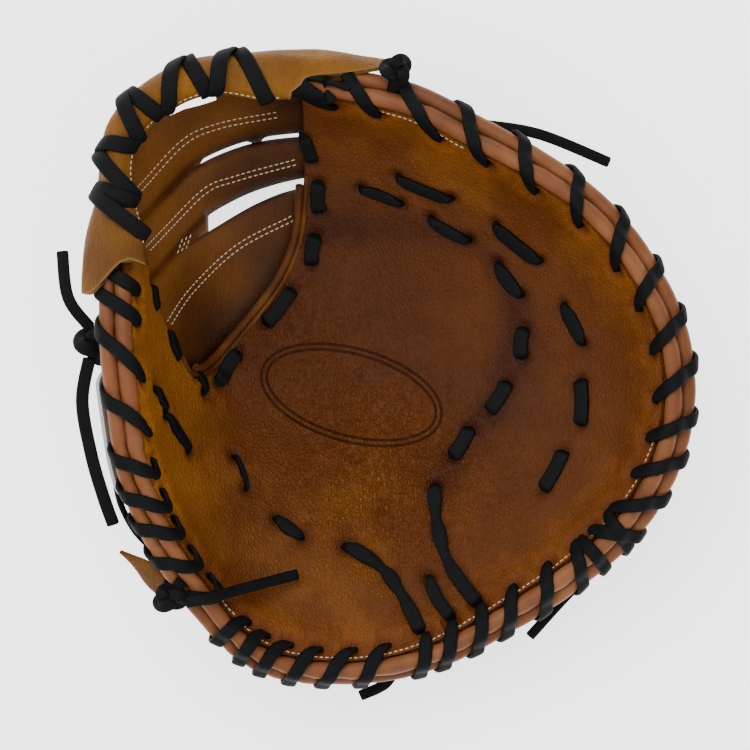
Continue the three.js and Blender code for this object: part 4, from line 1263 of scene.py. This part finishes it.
# Stitches: short rounded lengths of thread that sit half in the leather, one modelled and copied; its shape
# is pairs of place and girth
stitch = {
    "long": 1.9, "pitch": 2.9, "radius": 0.35, "proud": 0.1, "sides": 6, "longestStep": 8,
    "shape": ((-0.5, 0.4), (-0.32, 0.95), (0.32, 0.95), (0.5, 0.4)),
}
rings = [
    [
        Vector((share * stitch["long"], y * girth * stitch["radius"], z * girth * stitch["radius"]))
        for y, z in circle(stitch["sides"])
    ]
    for share, girth in stitch["shape"]
]
oneStitch = ringPiece("oneStitch", rings, thread, sharp=80)
oneStitch.data.transform(Matrix.Translation(-inFrame(Vector((0, 0, 0)))))


def surfaceOf(*pieces):
    corners = []
    faces = []
    for piece in pieces:
        first = len(corners)
        corners += [vertex.co.copy() for vertex in piece.data.vertices]
        faces += [tuple(first + v for v in face.vertices) for face in piece.data.polygons]
    return BVHTree.FromPolygons(corners, faces)


# Stitches where rays from the line's points meet the surface, one every pitch
def stitchRow(name, surface, line, ways):
    spots = []
    for place, way in zip(line, ways):
        hit, normal, _, _ = surface.ray_cast(inFrame(place), way)
        if hit is not None:
            spots.append((hit, normal if normal.dot(way) < 0 else -normal))
    gone = 0
    wanted = 0
    copies = []
    for (a, facing), (b, _) in zip(spots, spots[1:]):
        step = (b - a).length * 1000
        while step > 0 and step < stitch["longestStep"] and wanted <= gone + step:
            middle = a.lerp(b, (wanted - gone) / step)
            path = (b - a).normalized()
            side = facing.cross(path).normalized()
            turned = Matrix((path, side, path.cross(side))).transposed().to_4x4()
            copy = oneStitch.copy()
            copy.data = oneStitch.data.copy()
            copy.data.transform(Matrix.Translation(middle + facing * stitch["proud"] / 1000) @ turned)
            bpy.context.collection.objects.link(copy)
            copies.append(copy)
            wanted += stitch["pitch"]
        gone += step
    return finished(joined(name, copies), "lace")


# A row seen from straight above
def stitchBelow(name, surface, line):
    stitchRow(name, surface, [Vector((x, y, 200)) for x, y in line], [-up] * len(line))


# rows on the web, from the fingers to the thumb, in millimetres from the pocket's centre
webRows = (
    ((-35, 117.5), (-63, 112), (-82, 102.5), (-104, 77)),
    ((-26, 94.5), (-55, 86.5), (-72.5, 78.5), (-98, 50)),
    ((-27.5, 66.5), (-55, 52), (-77, 30.5), (-88.5, 12.5)),
)
webSurface = surfaceOf(*webPieces)
for number, row in enumerate(webRows, 1):
    for label, side in (("Upper", -1.25), ("Lower", 1.25)):
        line = []
        for k in range(201):
            here, there = (Vector(spline(row, min(1, k / 200 + d))) for d in (0, 0.002))
            along = (there - here).normalized() if k < 200 else along
            line.append((here.x - along.y * side, here.y + along.x * side))
        stitchBelow("webStitches" + str(number) + label, webSurface, line)
tack = {"low": (-84, 49.5), "high": (-81.4, 57), "step": (2, 1.2), "rows": 3}
for k in range(tack["rows"]):
    low, high = (Vector(tack[end]) + Vector(tack["step"]) * k for end in ("low", "high"))
    stitchBelow("barTack" + str(k + 1), webSurface, [low.lerp(high, i / 20) for i in range(21)])
# one row along the sleeve's inner edge, and one inside the palm's roll, at the heel and by the fingertips
sleeveRow = (105, 152, -116)
rimRows = {"heelStitches": (243, 345), "fingertipStitches": (420, 446)}
inside = (-1.3, -8)
start, end, turn = sleeveRow
line = [sleevePoint(lerp(start, end, k / 200), math.radians(turn), 0).xy for k in range(201)]
stitchBelow("sleeveStitches", surfaceOf(sleevePiece), line)
palmSurface = surfaceOf(palm)
for name, ends in rimRows.items():
    spread = [lerp(*ends, k / 400) for k in range(401)]
    stitchRow(name, palmSurface, [byRim(b, *inside) for b in spread], [rimWays(b)[1] for b in spread])
remove(oneStitch)
print("stitches made")

# Floor and light
floor = {"colour": "#fbfbfa", "half": 3, "glow": 1.9}
pick()
bpy.ops.mesh.primitive_plane_add(size=2 * floor["half"])
ground = bpy.context.object
ground.name = "studioFloor"
# lit acrylic light table, as under a catalogue picture: pale, even and without hard shadows
floorMaterial = newMaterial("litAcrylicTable", {
    "Roughness": 0.9, "Base Color": linear(floor["colour"]), "Emission Color": (1, 1, 1, 1),
    "Emission Strength": floor["glow"],
})[0]
ground.data.materials.append(floorMaterial)
ground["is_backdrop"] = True

lights = (
    {"name": "topSoftbox", "place": (-0.5, 0.9, 2.0), "size": 1.6, "watts": 44},
    {"name": "frontSoftbox", "place": (0.7, -1.3, 1.5), "size": 1.4, "watts": 17},
    {"name": "leftSoftbox", "place": (-1.6, -0.2, 1.3), "size": 1.2, "watts": 11},
)
for lamp in lights:
    bpy.ops.object.light_add(type="AREA", location=lamp["place"])
    light = bpy.context.object
    light.name = lamp["name"]
    light.data.size = lamp["size"]
    light.data.energy = lamp["watts"]
    light.rotation_euler = (Vector((0, 0, 0.05)) - Vector(lamp["place"])).to_track_quat("-Z", "Y").to_euler()
world = bpy.context.scene.world or bpy.data.worlds.new("studio")
bpy.context.scene.world = world
world.use_nodes = True
sky = world.node_tree.nodes.get("Background") or world.node_tree.nodes.new("ShaderNodeBackground")
sky.inputs["Color"].default_value = (1, 1, 1, 1)
sky.inputs["Strength"].default_value = 0.75
print("studio made")

low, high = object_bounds()
{"cad": [list(cadLow), list(cadHigh)], "visual": [list(low), list(high)]}
